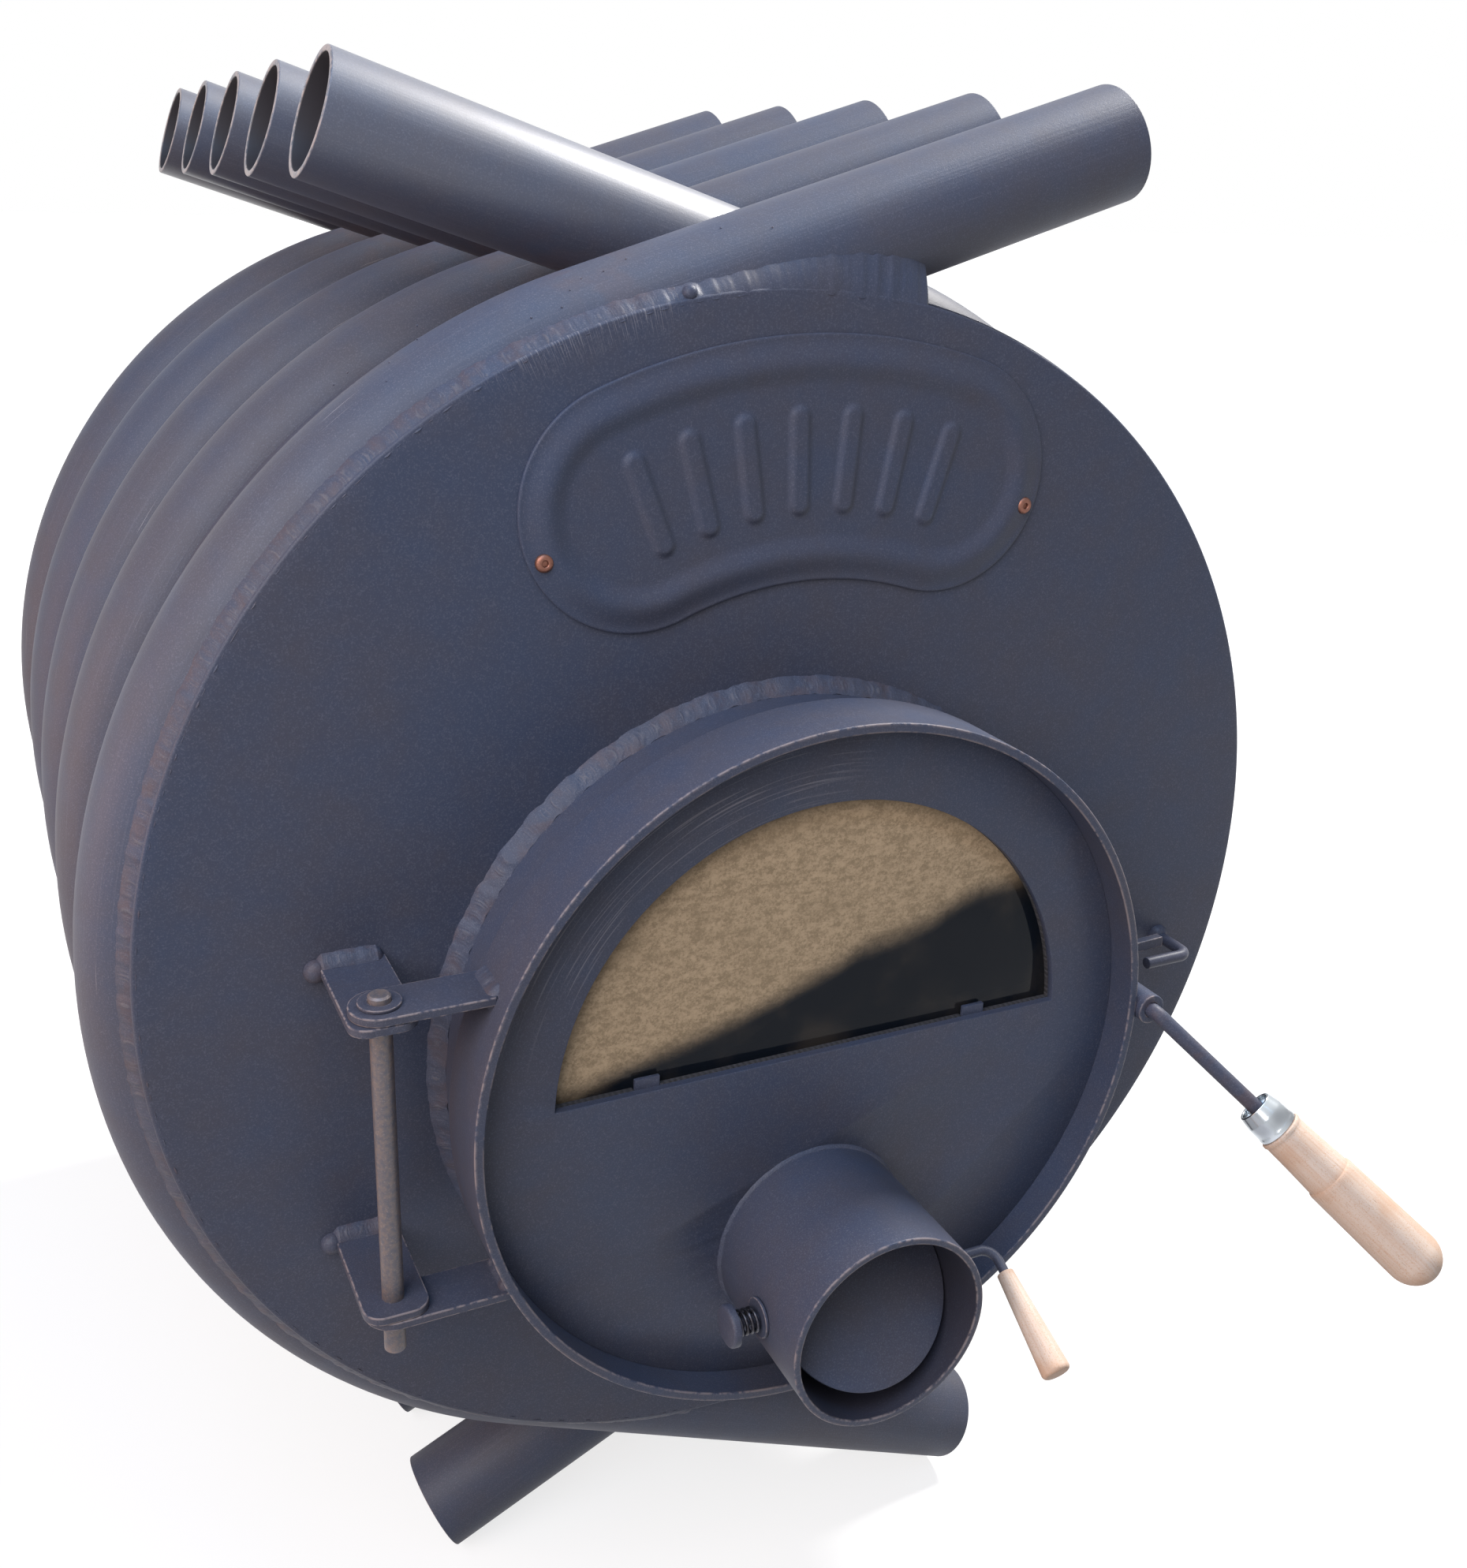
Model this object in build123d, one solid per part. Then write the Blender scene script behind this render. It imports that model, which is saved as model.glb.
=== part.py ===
from build123d import *
import math
import os

# A hot air stove. Its drum is two sets of bent steel tubes, one set down each side, welded
# turn about with curved strips between them. A round plate closes each end. Room air enters
# the tubes near the floor and leaves hot at their upper ends. The front plate carries a neck
# with a round glazed door, and the rear plate carries the flue collar.
#
# All sizes are millimetres and all angles are degrees. X points to the right as seen from the
# door, Y points from the door to the flue, and Z points up. Pieces are drawn about the drum's
# axis, with Y = 0 in the middle of the first left tube. At the end they are moved together, so
# that the origin lies on the floor under the middle of the whole stove.

# Drum tubes
TUBE_OD = 57.0
TUBE_WALL = 3.0
RING_RADIUS = 297.5
CROSSING_GAP = 0.5
TUBES_PER_SIDE = 5
TOP_SLOPE = 17.5
BOTTOM_SLOPE = 25.0
TOP_STUB = 295.0
BOTTOM_STUB = 316.0

# Drum skin and end plates
SHELL_OFFSET = 6.5
SHELL_THICKNESS = 3.0
SEAM_GAP = 0.02
STRIP_END_GAP = 0.5
PLATE_THICKNESS = 5.0
PLATE_INSET = 1.0

# Gas baffle inside the drum
SHELF_HEIGHT = 130.0
SHELF_THICKNESS = 5.0
SHELF_START = 130.0
SHELF_SPLIT = 340.0
SHELF_JOINT = 0.5
SHELF_SIDE_GAP = 1.5
RAIL_WIDTH = 14.0
RAIL_THICKNESS = 4.0
INJECTOR_OD = 16.0
INJECTOR_WALL = 2.0
INJECTOR_ANGLE = 40.0
INJECTOR_SKIN_GAP = 3.0
INJECTOR_START = 18.0
INJECTOR_END = 78.0

# Door neck on the front plate
DOOR_DROP = 54.1
DOOR_RIM = 35.0
NECK_WALL = 4.0
NECK_LENGTH = 45.8
NECK_WELD = 8.0

# Door shell
DOOR_RING_GAP = 3.0
DOOR_RING_WALL = 4.5
DOOR_RING_OVERLAP = 8.3
DISC_THICKNESS = 4.0
DISC_RECESS = 16.4
ROPE_DIAMETER = 10.0
ROPE_END_GAP = 0.3
ROPE_SIDE_GAP = 1.0
ROPE_SEAT_GAP = 0.5
INNER_RING_WALL = 3.0
INNER_RING_DEPTH = 11.6

# Door window
WINDOW_RADIUS = 137.0
WINDOW_SILL = 6.4
GASKET_WIDTH = 9.0
GASKET_THICKNESS = 3.0
GLASS_THICKNESS = 4.0
GLASS_FRAME_THICKNESS = 3.0
GLASS_FRAME_RIM = 10.5
GLASS_FRAME_LIP = 7.0
STUD_DIAMETER = 5.0
STUD_HOLE_GAP = 0.25
STUD_LENGTH = 16.0
NUT_WIDTH = 8.0
NUT_THICKNESS = 4.0
STUD_INSET = 5.0
STUD_ANGLES = (28.0, 72.0, 108.0, 152.0)
STUD_SILL_X = 62.0
CLIP_WIDTH = 12.6
CLIP_THICKNESS = 2.0
CLIP_SPACING = 180.4
CLIP_RISE = 5.0
CLIP_FOOT = 12.0
CLIP_SIDE_GAP = 0.3

# Air inlet and its damper
AIR_TUBE_OD = 102.0
AIR_TUBE_WALL = 3.5
AIR_TUBE_LENGTH = 78.0
AIR_TUBE_MARGIN = 21.3
AIR_AXLE_SETBACK = 34.3
AIR_AXLE_DIAMETER = 5.0
AIR_DISC_GAP = 1.0
AIR_DISC_THICKNESS = 2.0
AIR_DISC_TILT = 38.0
AIR_RUN_GAP = 0.05
AIR_WASHER_GAP = 0.1
AIR_WASHER_OD = 19.0
AIR_WASHER_THICKNESS = 1.5
AIR_SPRING_LENGTH = 12.4
AIR_SPRING_OD = 12.6
AIR_SPRING_WIRE = 1.6
AIR_SPRING_TURNS = 4
AIR_HEAD_OD = 20.0
AIR_HEAD_THICKNESS = 4.0
AIR_CRANK_REACH = 29.0
AIR_CRANK_BEND = 8.0
AIR_CRANK_DROP = 27.6
AIR_KNOB_START = 14.0
AIR_KNOB_LENGTH = 53.0
AIR_KNOB_OD = 15.0
AIR_KNOB_NECK_OD = 8.6
AIR_KNOB_BORE_DEPTH = 24.0
AIR_KNOB_TIP = 2.2
DEFLECTOR_WIDTH = 100.0
DEFLECTOR_WALL = 2.0
DEFLECTOR_STAND = 22.0
DEFLECTOR_MARGIN = 4.0

# Door hinge
HINGE_OUTREACH = 32.0
HINGE_STANDOFF = 51.5
HINGE_PIN_DIAMETER = 10.0
HINGE_RUN_GAP = 0.05
HINGE_SEAT_GAP = 0.02
HINGE_TOP_RISE = 69.3
HINGE_BOTTOM_DROP = 75.7
BRACKET_WIDTH = 30.0
BRACKET_THICKNESS = 4.0
BRACKET_NOSE = 13.3
BRACKET_CORNER = 9.0
BRACKET_WELD = 5.0
ARM_WIDTH = 27.0
ARM_THICKNESS = 4.0
ARM_SIDE_GAP = 0.2
PIN_TOP_STANDOUT = 4.8
PIN_BOTTOM_STANDOUT = 20.3
SNAP_RING_OD = 19.0
SNAP_RING_THICKNESS = 1.5

# Door latch
SLEEVE_OD = 16.0
SLEEVE_LENGTH = 38.0
SLEEVE_STANDOUT = 3.0
LATCH_ROD_DIAMETER = 8.0
LATCH_RUN_GAP = 0.05
LATCH_ROD_TAIL = 25.0
LATCH_BEND_AHEAD = 4.0
LATCH_BEND_RADIUS = 8.0
LATCH_LEAN = 51.0
LATCH_ASLANT = 49.0
LATCH_SHANK = 67.0
FINGER_REACH = 55.5
FINGER_HEIGHT = 6.0
FINGER_THICKNESS = 4.8
FINGER_EYE_OD = 15.0
FINGER_SETBACK = 1.5
FINGER_LIFT = 2.5
CATCH_DIAMETER = 6.5
CATCH_WELD_OD = 13.2
CATCH_SIDE_GAP = 13.15
CATCH_BITE = 13.5
CATCH_DEPTH_GAP = 0.45
CATCH_DROP = 7.0
CATCH_BEND = 6.0
FERRULE_LENGTH = 17.0
FERRULE_OD = 22.6
FERRULE_NECK_OD = 19.0
GRIP_LENGTH = 103.0
GRIP_OD = 29.0
GRIP_WAIST_OD = 25.8
GRIP_STEP_AT = 33.0
GRIP_STEP = 0.8
GRIP_TANG = 40.0

# Badge on the front plate
BADGE_RADIUS = 229.0
BADGE_HALF_WIDTH = 57.0
BADGE_HALF_SWEEP = 20.3
BADGE_LEAN = 2.5
BADGE_ASIDE = 4.3
BADGE_THICKNESS = 1.5
BADGE_RIM_START = 5.0
BADGE_RIM_WIDTH = 9.0
BADGE_RIM_RISE = 3.0
BADGE_RIBS = 7
BADGE_RIB_WIDTH = 12.0
BADGE_RIB_LENGTH = 52.0
BADGE_RIB_RISE = 1.8
BADGE_RIB_STEP = 6.4
RIVET_X = 126.0
RIVET_Z = 196.0
RIVET_OD = 8.4
RIVET_HOLE = 2.6
RIVET_RISE = 3.4

# Flue collar and its damper
FLUE_OD = 120.0
FLUE_WALL = 3.0
FLUE_LENGTH = 100.0
FLUE_RISE = 185.0
FLUE_AXLE_SETBACK = 34.0
FLUE_AXLE_DIAMETER = 8.0
FLUE_DISC_GAP = 1.0
FLUE_DISC_THICKNESS = 2.0
FLUE_AXLE_TAIL = 8.0
FLUE_CRANK_REACH = 40.0
FLUE_CRANK_BEND = 10.0
FLUE_CRANK_LENGTH = 58.0
FLUE_STOP_SETBACK = 44.0
FLUE_STOP_WIDTH = 4.0
FLUE_STOP_RISE = 3.0

# Worked out from the sizes above
TUBE_R = TUBE_OD / 2
BORE_R = TUBE_R - TUBE_WALL
TUBE_PITCH = 2 * (TUBE_OD + CROSSING_GAP)
SHELL_INNER = RING_RADIUS + SHELL_OFFSET
SHELL_OUTER = SHELL_INNER + SHELL_THICKNESS
PLATE_RADIUS = SHELL_OUTER - PLATE_INSET
PLATE_BACK = -TUBE_R
PLATE_FRONT = PLATE_BACK - PLATE_THICKNESS
REAR_FACE = TUBE_PITCH * (TUBES_PER_SIDE - 0.5) + TUBE_R
REAR_BACK = REAR_FACE + PLATE_THICKNESS
DRUM_INNER = RING_RADIUS - TUBE_R

DOOR_Z = -DOOR_DROP
NECK_R = WINDOW_RADIUS + DOOR_RIM
NECK_BORE = NECK_R - NECK_WALL
NECK_FRONT = PLATE_FRONT - NECK_LENGTH
DOOR_RING_IN = NECK_R + DOOR_RING_GAP
DOOR_RING_OUT = DOOR_RING_IN + DOOR_RING_WALL
DISC_BACK = NECK_FRONT - ROPE_END_GAP - ROPE_DIAMETER
DISC_FRONT = DISC_BACK - DISC_THICKNESS
DOOR_RING_FRONT = DISC_FRONT - DISC_RECESS
DOOR_RING_BACK = NECK_FRONT + DOOR_RING_OVERLAP
ROPE_RADIUS = DOOR_RING_IN - ROPE_SIDE_GAP - ROPE_DIAMETER / 2
INNER_RING_OUT = ROPE_RADIUS - ROPE_DIAMETER / 2 - ROPE_SEAT_GAP
INNER_RING_BORE = INNER_RING_OUT - INNER_RING_WALL

GLASS_FRONT = DISC_BACK + GASKET_THICKNESS
GLASS_BACK = GLASS_FRONT + GLASS_THICKNESS
GLASS_RADIUS = WINDOW_RADIUS + GASKET_WIDTH
GLASS_SILL = WINDOW_SILL - GASKET_WIDTH
FRAME_BACK = GLASS_BACK + GLASS_FRAME_THICKNESS
FRAME_RADIUS = GLASS_RADIUS + GLASS_FRAME_RIM
FRAME_SILL = GLASS_SILL - GLASS_FRAME_RIM
STUD_RADIUS = GLASS_RADIUS + STUD_INSET

AIR_R = AIR_TUBE_OD / 2
AIR_BORE = AIR_R - AIR_TUBE_WALL
AIR_Z = DOOR_Z - (NECK_R - AIR_TUBE_MARGIN - AIR_R)
AIR_FRONT = DISC_FRONT - AIR_TUBE_LENGTH
AIR_AXLE_Y = AIR_FRONT + AIR_AXLE_SETBACK
AIR_AXLE_R = AIR_AXLE_DIAMETER / 2

HINGE_X = -(DOOR_RING_OUT + HINGE_OUTREACH)
HINGE_Y = PLATE_FRONT - HINGE_STANDOFF
HINGE_PIN_R = HINGE_PIN_DIAMETER / 2
BRACKET_TOP_Z = DOOR_Z + HINGE_TOP_RISE
BRACKET_LOW_Z = DOOR_Z - HINGE_BOTTOM_DROP
ARM_TOP_Z = BRACKET_TOP_Z + ARM_SIDE_GAP
ARM_LOW_Z = BRACKET_LOW_Z - BRACKET_THICKNESS - ARM_SIDE_GAP - ARM_THICKNESS
SNAP_RING_Z = ARM_TOP_Z + ARM_THICKNESS + ARM_SIDE_GAP

SLEEVE_R = SLEEVE_OD / 2
LATCH_ROD_R = LATCH_ROD_DIAMETER / 2
LATCH_X = DOOR_RING_OUT + SLEEVE_R
LATCH_Z = DOOR_Z
SLEEVE_FRONT = DOOR_RING_FRONT - SLEEVE_STANDOUT
SLEEVE_BACK = SLEEVE_FRONT + SLEEVE_LENGTH
LATCH_TAIL_Y = SLEEVE_BACK + LATCH_ROD_TAIL
FINGER_BACK = LATCH_TAIL_Y - FINGER_SETBACK
FINGER_FRONT = FINGER_BACK - FINGER_THICKNESS
CATCH_R = CATCH_DIAMETER / 2
CATCH_X = LATCH_X + FINGER_REACH + CATCH_SIDE_GAP + CATCH_R
CATCH_END_X = LATCH_X + FINGER_REACH - CATCH_BITE
CATCH_Y = FINGER_FRONT - CATCH_DEPTH_GAP - CATCH_R
CATCH_Z = LATCH_Z - CATCH_DROP

FLUE_R = FLUE_OD / 2
FLUE_BORE = FLUE_R - FLUE_WALL
FLUE_END = REAR_BACK + FLUE_LENGTH
FLUE_AXLE_Y = REAR_BACK + FLUE_AXLE_SETBACK
FLUE_AXLE_R = FLUE_AXLE_DIAMETER / 2
FLUE_STOP_FRONT = REAR_BACK + FLUE_STOP_SETBACK
FLUE_STOP_BACK = FLUE_STOP_FRONT + FLUE_STOP_WIDTH


def along_y(outline, y_front, y_back):
    """Push an outline drawn in X and Z from one depth to another."""
    return extrude(Plane.XZ.offset(-y_back) * outline, amount=y_back - y_front)


def along_z(outline, z_low, z_high):
    """Push an outline drawn in X and Y from one height to another."""
    return extrude(Plane.XY.offset(z_low) * outline, amount=z_high - z_low)


def along_x(outline, x_left, x_right):
    """Push an outline drawn in Y and Z from one side to the other."""
    return extrude(Plane.YZ.offset(x_left) * outline, amount=x_right - x_left)


def pipe_y(r_out, r_in, y_front, y_back, z, x=0.0):
    """A round pipe that lies along Y."""
    return along_y(Pos(x, z) * (Circle(r_out) - Circle(r_in)), y_front, y_back)


def rod_y(radius, y_front, y_back, z, x=0.0):
    """A round rod that lies along Y."""
    return along_y(Pos(x, z) * Circle(radius), y_front, y_back)


def bent_rod(points, radius, bend):
    """A round rod through the points, with its corners bent to one radius."""
    path = FilletPolyline(*points, radius=bend)
    start = Plane(origin=points[0], z_dir=Vector(points[1]) - Vector(points[0]))
    return sweep(start * Circle(radius), path=path)


def on_axis(origin, direction):
    """A plane whose Z axis runs along a handle or a slanted tube."""
    return Plane(origin=origin, z_dir=direction)


def tube_axis_ends(side):
    """Upper end, two tangent points and lower end of one tube's centreline, in X and Z."""
    a = math.radians(TOP_SLOPE)
    b = math.radians(BOTTOM_SLOPE)
    top = (side * RING_RADIUS * math.sin(a), RING_RADIUS * math.cos(a))
    low = (side * RING_RADIUS * math.sin(b), -RING_RADIUS * math.cos(b))
    top_end = (top[0] - side * TOP_STUB * math.cos(a), top[1] + TOP_STUB * math.sin(a))
    low_end = (low[0] - side * BOTTOM_STUB * math.cos(b), low[1] - BOTTOM_STUB * math.sin(b))
    return top_end, top, low, low_end


def tube_y(side, number):
    """Depth of a tube: right tubes stand half a pitch behind the left ones."""
    return (number - 1) * TUBE_PITCH + (TUBE_PITCH / 2 if side > 0 else 0.0)


def tube_sweep(side, number, section):
    """Carry a section down one tube's run: upper stub, long arc down the side, lower stub."""
    y = tube_y(side, number)
    top_end, top, low, low_end = [(x, y, z) for x, z in tube_axis_ends(side)]
    path = Line(top_end, top) + ThreePointArc(top, (side * RING_RADIUS, y, 0), low) + Line(low, low_end)
    mouth = Plane(origin=top_end, x_dir=(0, 1, 0), z_dir=Vector(top) - Vector(top_end))
    return sweep(mouth * section, path=path)


def drum_tube(side, number):
    """One bent tube, with a hole for the injector pipe in the first of each side."""
    tube = tube_sweep(side, number, Circle(TUBE_R) - Circle(BORE_R))
    if number == 1:
        tube -= injector_rod(side, INJECTOR_OD / 2 + SEAM_GAP)
    return tube


def injector_place(side):
    """X and Z of an injector pipe, just inside the drum skin and above the baffle."""
    radius = SHELL_INNER - INJECTOR_SKIN_GAP - INJECTOR_OD / 2
    angle = math.radians(90 - side * INJECTOR_ANGLE)
    return radius * math.cos(angle), radius * math.sin(angle)


def injector_rod(side, radius):
    """The room that an injector pipe takes up."""
    x, z = injector_place(side)
    y = tube_y(side, 1)
    return rod_y(radius, y + INJECTOR_START, y + INJECTOR_END, z, x)


def injector_tubes():
    """Two short pipes that lead hot air from the first tubes over the baffle."""
    bore = INJECTOR_OD / 2 - INJECTOR_WALL
    pipes = [injector_rod(side, INJECTOR_OD / 2) - injector_rod(side, bore) for side in (-1, 1)]
    return Compound(pipes)


def strip_outline(side):
    """The arc band that a skin strip covers, up to the straight stubs of the other side."""
    lift = RING_RADIUS - TUBE_R - STRIP_END_GAP
    reach = math.degrees(math.acos(lift / SHELL_OUTER))
    first = 90 - TOP_SLOPE + reach
    last = 270 + BOTTOM_SLOPE - reach
    band = arc_band(SHELL_INNER, SHELL_OUTER, first, last)
    return band if side < 0 else mirror(band, about=Plane.YZ)


def arc_band(r_in, r_out, first, last):
    """A flat band between two radii and two angles."""
    inner = CenterArc((0, 0), r_in, first, last - first)
    outer = CenterArc((0, 0), r_out, first, last - first)
    caps = [Line(inner @ t, outer @ t) for t in (0, 1)]
    return make_face([inner, outer] + caps)


def skin_strip(side, number):
    """Skin between two tubes, or between an end plate and the nearest tube, coped to the tubes."""
    neighbours = [number, number + 1] if side < 0 else [number - 1, number]
    neighbours = [n for n in neighbours if 1 <= n <= TUBES_PER_SIDE]
    y_front = tube_y(side, neighbours[0])
    y_back = tube_y(side, neighbours[-1])
    if len(neighbours) == 1:
        y_front = PLATE_BACK if side > 0 else y_front
        y_back = REAR_FACE if side < 0 else y_back
    strip = along_y(strip_outline(side), y_front, y_back)
    for n in neighbours:
        strip -= tube_sweep(side, n, Circle(TUBE_R + SEAM_GAP))
    return strip


def front_plate():
    """The round front plate with the fire door's hole."""
    outline = Circle(PLATE_RADIUS) - Pos(0, DOOR_Z) * Circle(NECK_BORE)
    return along_y(outline, PLATE_FRONT, PLATE_BACK)


def rear_plate():
    """The round rear plate with the flue hole."""
    outline = Circle(PLATE_RADIUS) - Pos(0, FLUE_RISE) * Circle(FLUE_BORE)
    return along_y(outline, REAR_FACE, REAR_BACK)


def door_neck():
    """The short pipe that the door closes on, with its weld to the front plate."""
    pipe = pipe_y(NECK_R, NECK_BORE, NECK_FRONT, PLATE_FRONT, DOOR_Z)
    weld = make_face(Polyline((NECK_R, 0), (NECK_R + NECK_WELD, 0), (NECK_R, NECK_WELD), close=True))
    bead = Pos(0, PLATE_FRONT, DOOR_Z) * Rot(90, 0, 0) * revolve(Plane.XZ * weld, Axis.Z)
    return pipe + bead


def shelf_half_width():
    """Half the baffle's width at its upper face, inside the drum tubes."""
    return math.sqrt(DRUM_INNER**2 - (SHELF_HEIGHT + SHELF_THICKNESS) ** 2) - SHELF_SIDE_GAP


def shelf(y_front, y_back):
    """One plate of the gas baffle."""
    plate = Pos(0, (y_front + y_back) / 2) * Rectangle(2 * shelf_half_width(), y_back - y_front)
    return along_z(plate, SHELF_HEIGHT, SHELF_HEIGHT + SHELF_THICKNESS)


def shelf_rails():
    """Two flat bars that are welded to the tubes and carry the baffle."""
    edge = math.sqrt(DRUM_INNER**2 - SHELF_HEIGHT**2) - SEAM_GAP
    y_mid = (PLATE_BACK + REAR_FACE) / 2
    bar = Rectangle(RAIL_WIDTH, REAR_FACE - PLATE_BACK)
    places = Pos(-edge + RAIL_WIDTH / 2, y_mid) * bar + Pos(edge - RAIL_WIDTH / 2, y_mid) * bar
    return along_z(places, SHELF_HEIGHT - RAIL_THICKNESS, SHELF_HEIGHT)


def door_ring():
    """The door's outer shell, which slips over the neck."""
    return pipe_y(DOOR_RING_OUT, DOOR_RING_IN, DOOR_RING_FRONT, DOOR_RING_BACK, DOOR_Z)


def half_round(radius, sill):
    """A circle about the door's centre, cut off flat below the sill."""
    upper = Pos(0, sill + radius) * Rectangle(2 * radius, 2 * radius)
    return Pos(0, DOOR_Z) * (Circle(radius) & upper)


def door_disc():
    """The door's face, with the window and the air inlet cut out."""
    outline = Pos(0, DOOR_Z) * Circle(DOOR_RING_IN)
    outline -= half_round(WINDOW_RADIUS, WINDOW_SILL)
    outline -= Pos(0, AIR_Z) * Circle(AIR_BORE)
    return along_y(outline, DISC_FRONT, DISC_BACK)


def door_inner_ring():
    """The inner wall of the groove that holds the rope seal."""
    return pipe_y(INNER_RING_OUT, INNER_RING_BORE, DISC_BACK, DISC_BACK + INNER_RING_DEPTH, DOOR_Z)


def door_rope_seal():
    """A closed loop of sealing rope against the back of the disc."""
    loop = Torus(ROPE_RADIUS, ROPE_DIAMETER / 2)
    return Pos(0, DISC_BACK + ROPE_DIAMETER / 2, DOOR_Z) * Rot(90, 0, 0) * loop


def clip_boxes(gap):
    """Outlines of the two glass clips in X and Z, widened by a gap."""
    height = CLIP_RISE + CLIP_FOOT + 2 * gap
    z = DOOR_Z + WINDOW_SILL + (CLIP_RISE - CLIP_FOOT) / 2
    box = Rectangle(CLIP_WIDTH + 2 * gap, height)
    return [Pos(s * CLIP_SPACING / 2, z) * box for s in (-1, 1)]


def glass_gasket():
    """The flat gasket between the disc and the glass, notched for the clips."""
    outline = half_round(GLASS_RADIUS, GLASS_SILL) - half_round(WINDOW_RADIUS, WINDOW_SILL)
    for box in clip_boxes(CLIP_SIDE_GAP):
        outline -= box
    return along_y(outline, DISC_BACK, GLASS_FRONT)


def glass_clips():
    """Two tabs on the back of the disc that stop the glass from sliding down."""
    return Compound([along_y(box, DISC_BACK, DISC_BACK + CLIP_THICKNESS) for box in clip_boxes(0.0)])


def window_glass():
    """The heat-proof glass pane."""
    return along_y(half_round(GLASS_RADIUS, GLASS_SILL), GLASS_FRONT, GLASS_BACK)


def stud_places():
    """X and Z of each stud that clamps the glass frame."""
    turns = [math.radians(angle) for angle in STUD_ANGLES]
    places = [(STUD_RADIUS * math.cos(t), DOOR_Z + STUD_RADIUS * math.sin(t)) for t in turns]
    sill_z = DOOR_Z + GLASS_SILL - STUD_INSET
    return places + [(-STUD_SILL_X, sill_z), (STUD_SILL_X, sill_z)]


def glass_frame():
    """The clamping frame behind the glass, drilled for the studs."""
    opening = half_round(WINDOW_RADIUS - GLASS_FRAME_LIP, WINDOW_SILL + GLASS_FRAME_LIP)
    outline = half_round(FRAME_RADIUS, FRAME_SILL) - opening
    for x, z in stud_places():
        outline -= Pos(x, z) * Circle(STUD_DIAMETER / 2 + STUD_HOLE_GAP)
    return along_y(outline, GLASS_BACK, FRAME_BACK)


def glass_fasteners():
    """Studs on the disc with a nut on each, behind the clamping frame."""
    nut = RegularPolygon(NUT_WIDTH / 2, 6, major_radius=False)
    studs = []
    for x, z in stud_places():
        stud = rod_y(STUD_DIAMETER / 2, DISC_BACK, DISC_BACK + STUD_LENGTH, z, x)
        studs.append(stud + along_y(Pos(x, z) * nut, FRAME_BACK, FRAME_BACK + NUT_THICKNESS))
    return Compound(studs)


def air_tube():
    """The air inlet pipe, drilled across for the damper's axle."""
    pipe = pipe_y(AIR_R, AIR_BORE, AIR_FRONT, DISC_FRONT, AIR_Z)
    hole = Pos(AIR_AXLE_Y, AIR_Z) * Circle(AIR_AXLE_R + AIR_RUN_GAP)
    return pipe - along_x(hole, -AIR_TUBE_OD, AIR_TUBE_OD)


def air_deflector():
    """A bent tray behind the inlet, open at the top, that sends the air up past the glass."""
    low = AIR_Z - AIR_BORE + DEFLECTOR_MARGIN
    high = AIR_Z + AIR_R + DEFLECTOR_MARGIN
    tray = Pos(0, (low + high) / 2) * Rectangle(DEFLECTOR_WIDTH, high - low)
    inside = Rectangle(DEFLECTOR_WIDTH - 2 * DEFLECTOR_WALL, high - low)
    room = Pos(0, (low + high) / 2 + DEFLECTOR_WALL) * inside
    back = DISC_BACK + DEFLECTOR_STAND
    return along_y(tray, DISC_BACK, back) - along_y(room, DISC_BACK, back - DEFLECTOR_WALL)


def air_damper_normal():
    """The way the damper's face points at rest: forwards and up."""
    tilt = math.radians(AIR_DISC_TILT)
    return Vector(0, -math.cos(tilt), math.sin(tilt))


def air_damper_disc():
    """The throttle disc, welded along the front of its axle."""
    normal = air_damper_normal()
    seat = Vector(0, AIR_AXLE_Y, AIR_Z) + normal * AIR_AXLE_R
    disc = Circle(AIR_BORE - AIR_DISC_GAP)
    return extrude(Plane(origin=seat, x_dir=(1, 0, 0), z_dir=normal) * disc, amount=AIR_DISC_THICKNESS)


def air_crank_direction():
    """The way the damper's handle points at rest."""
    drop = math.radians(AIR_CRANK_DROP)
    return Vector(0, -math.cos(drop), -math.sin(drop))


def air_head_x():
    """The inner face of the axle's head, outside the spring."""
    return -AIR_R - AIR_WASHER_GAP - AIR_WASHER_THICKNESS - AIR_SPRING_LENGTH


def air_damper_axle():
    """The axle with its button head on the left and its cranked end on the right."""
    corner = Vector(AIR_R + AIR_CRANK_REACH, AIR_AXLE_Y, AIR_Z)
    far = corner + air_crank_direction() * (AIR_KNOB_START + AIR_KNOB_BORE_DEPTH)
    points = [(air_head_x(), AIR_AXLE_Y, AIR_Z), tuple(corner), tuple(far)]
    rod = bent_rod(points, AIR_AXLE_R, AIR_CRANK_BEND)
    head = Pos(AIR_AXLE_Y, AIR_Z) * Circle(AIR_HEAD_OD / 2)
    button = along_x(head, air_head_x() - AIR_HEAD_THICKNESS, air_head_x())
    rim = button.faces().sort_by(Axis.X)[0].edges()
    return rod + fillet(rim, AIR_HEAD_THICKNESS * 0.4)


def air_damper_washer():
    """The washer between the spring and the inlet pipe."""
    ring = Circle(AIR_WASHER_OD / 2) - Circle(AIR_AXLE_R + AIR_RUN_GAP)
    right = -AIR_R - AIR_WASHER_GAP
    return along_x(Pos(AIR_AXLE_Y, AIR_Z) * ring, right - AIR_WASHER_THICKNESS, right)


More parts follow.
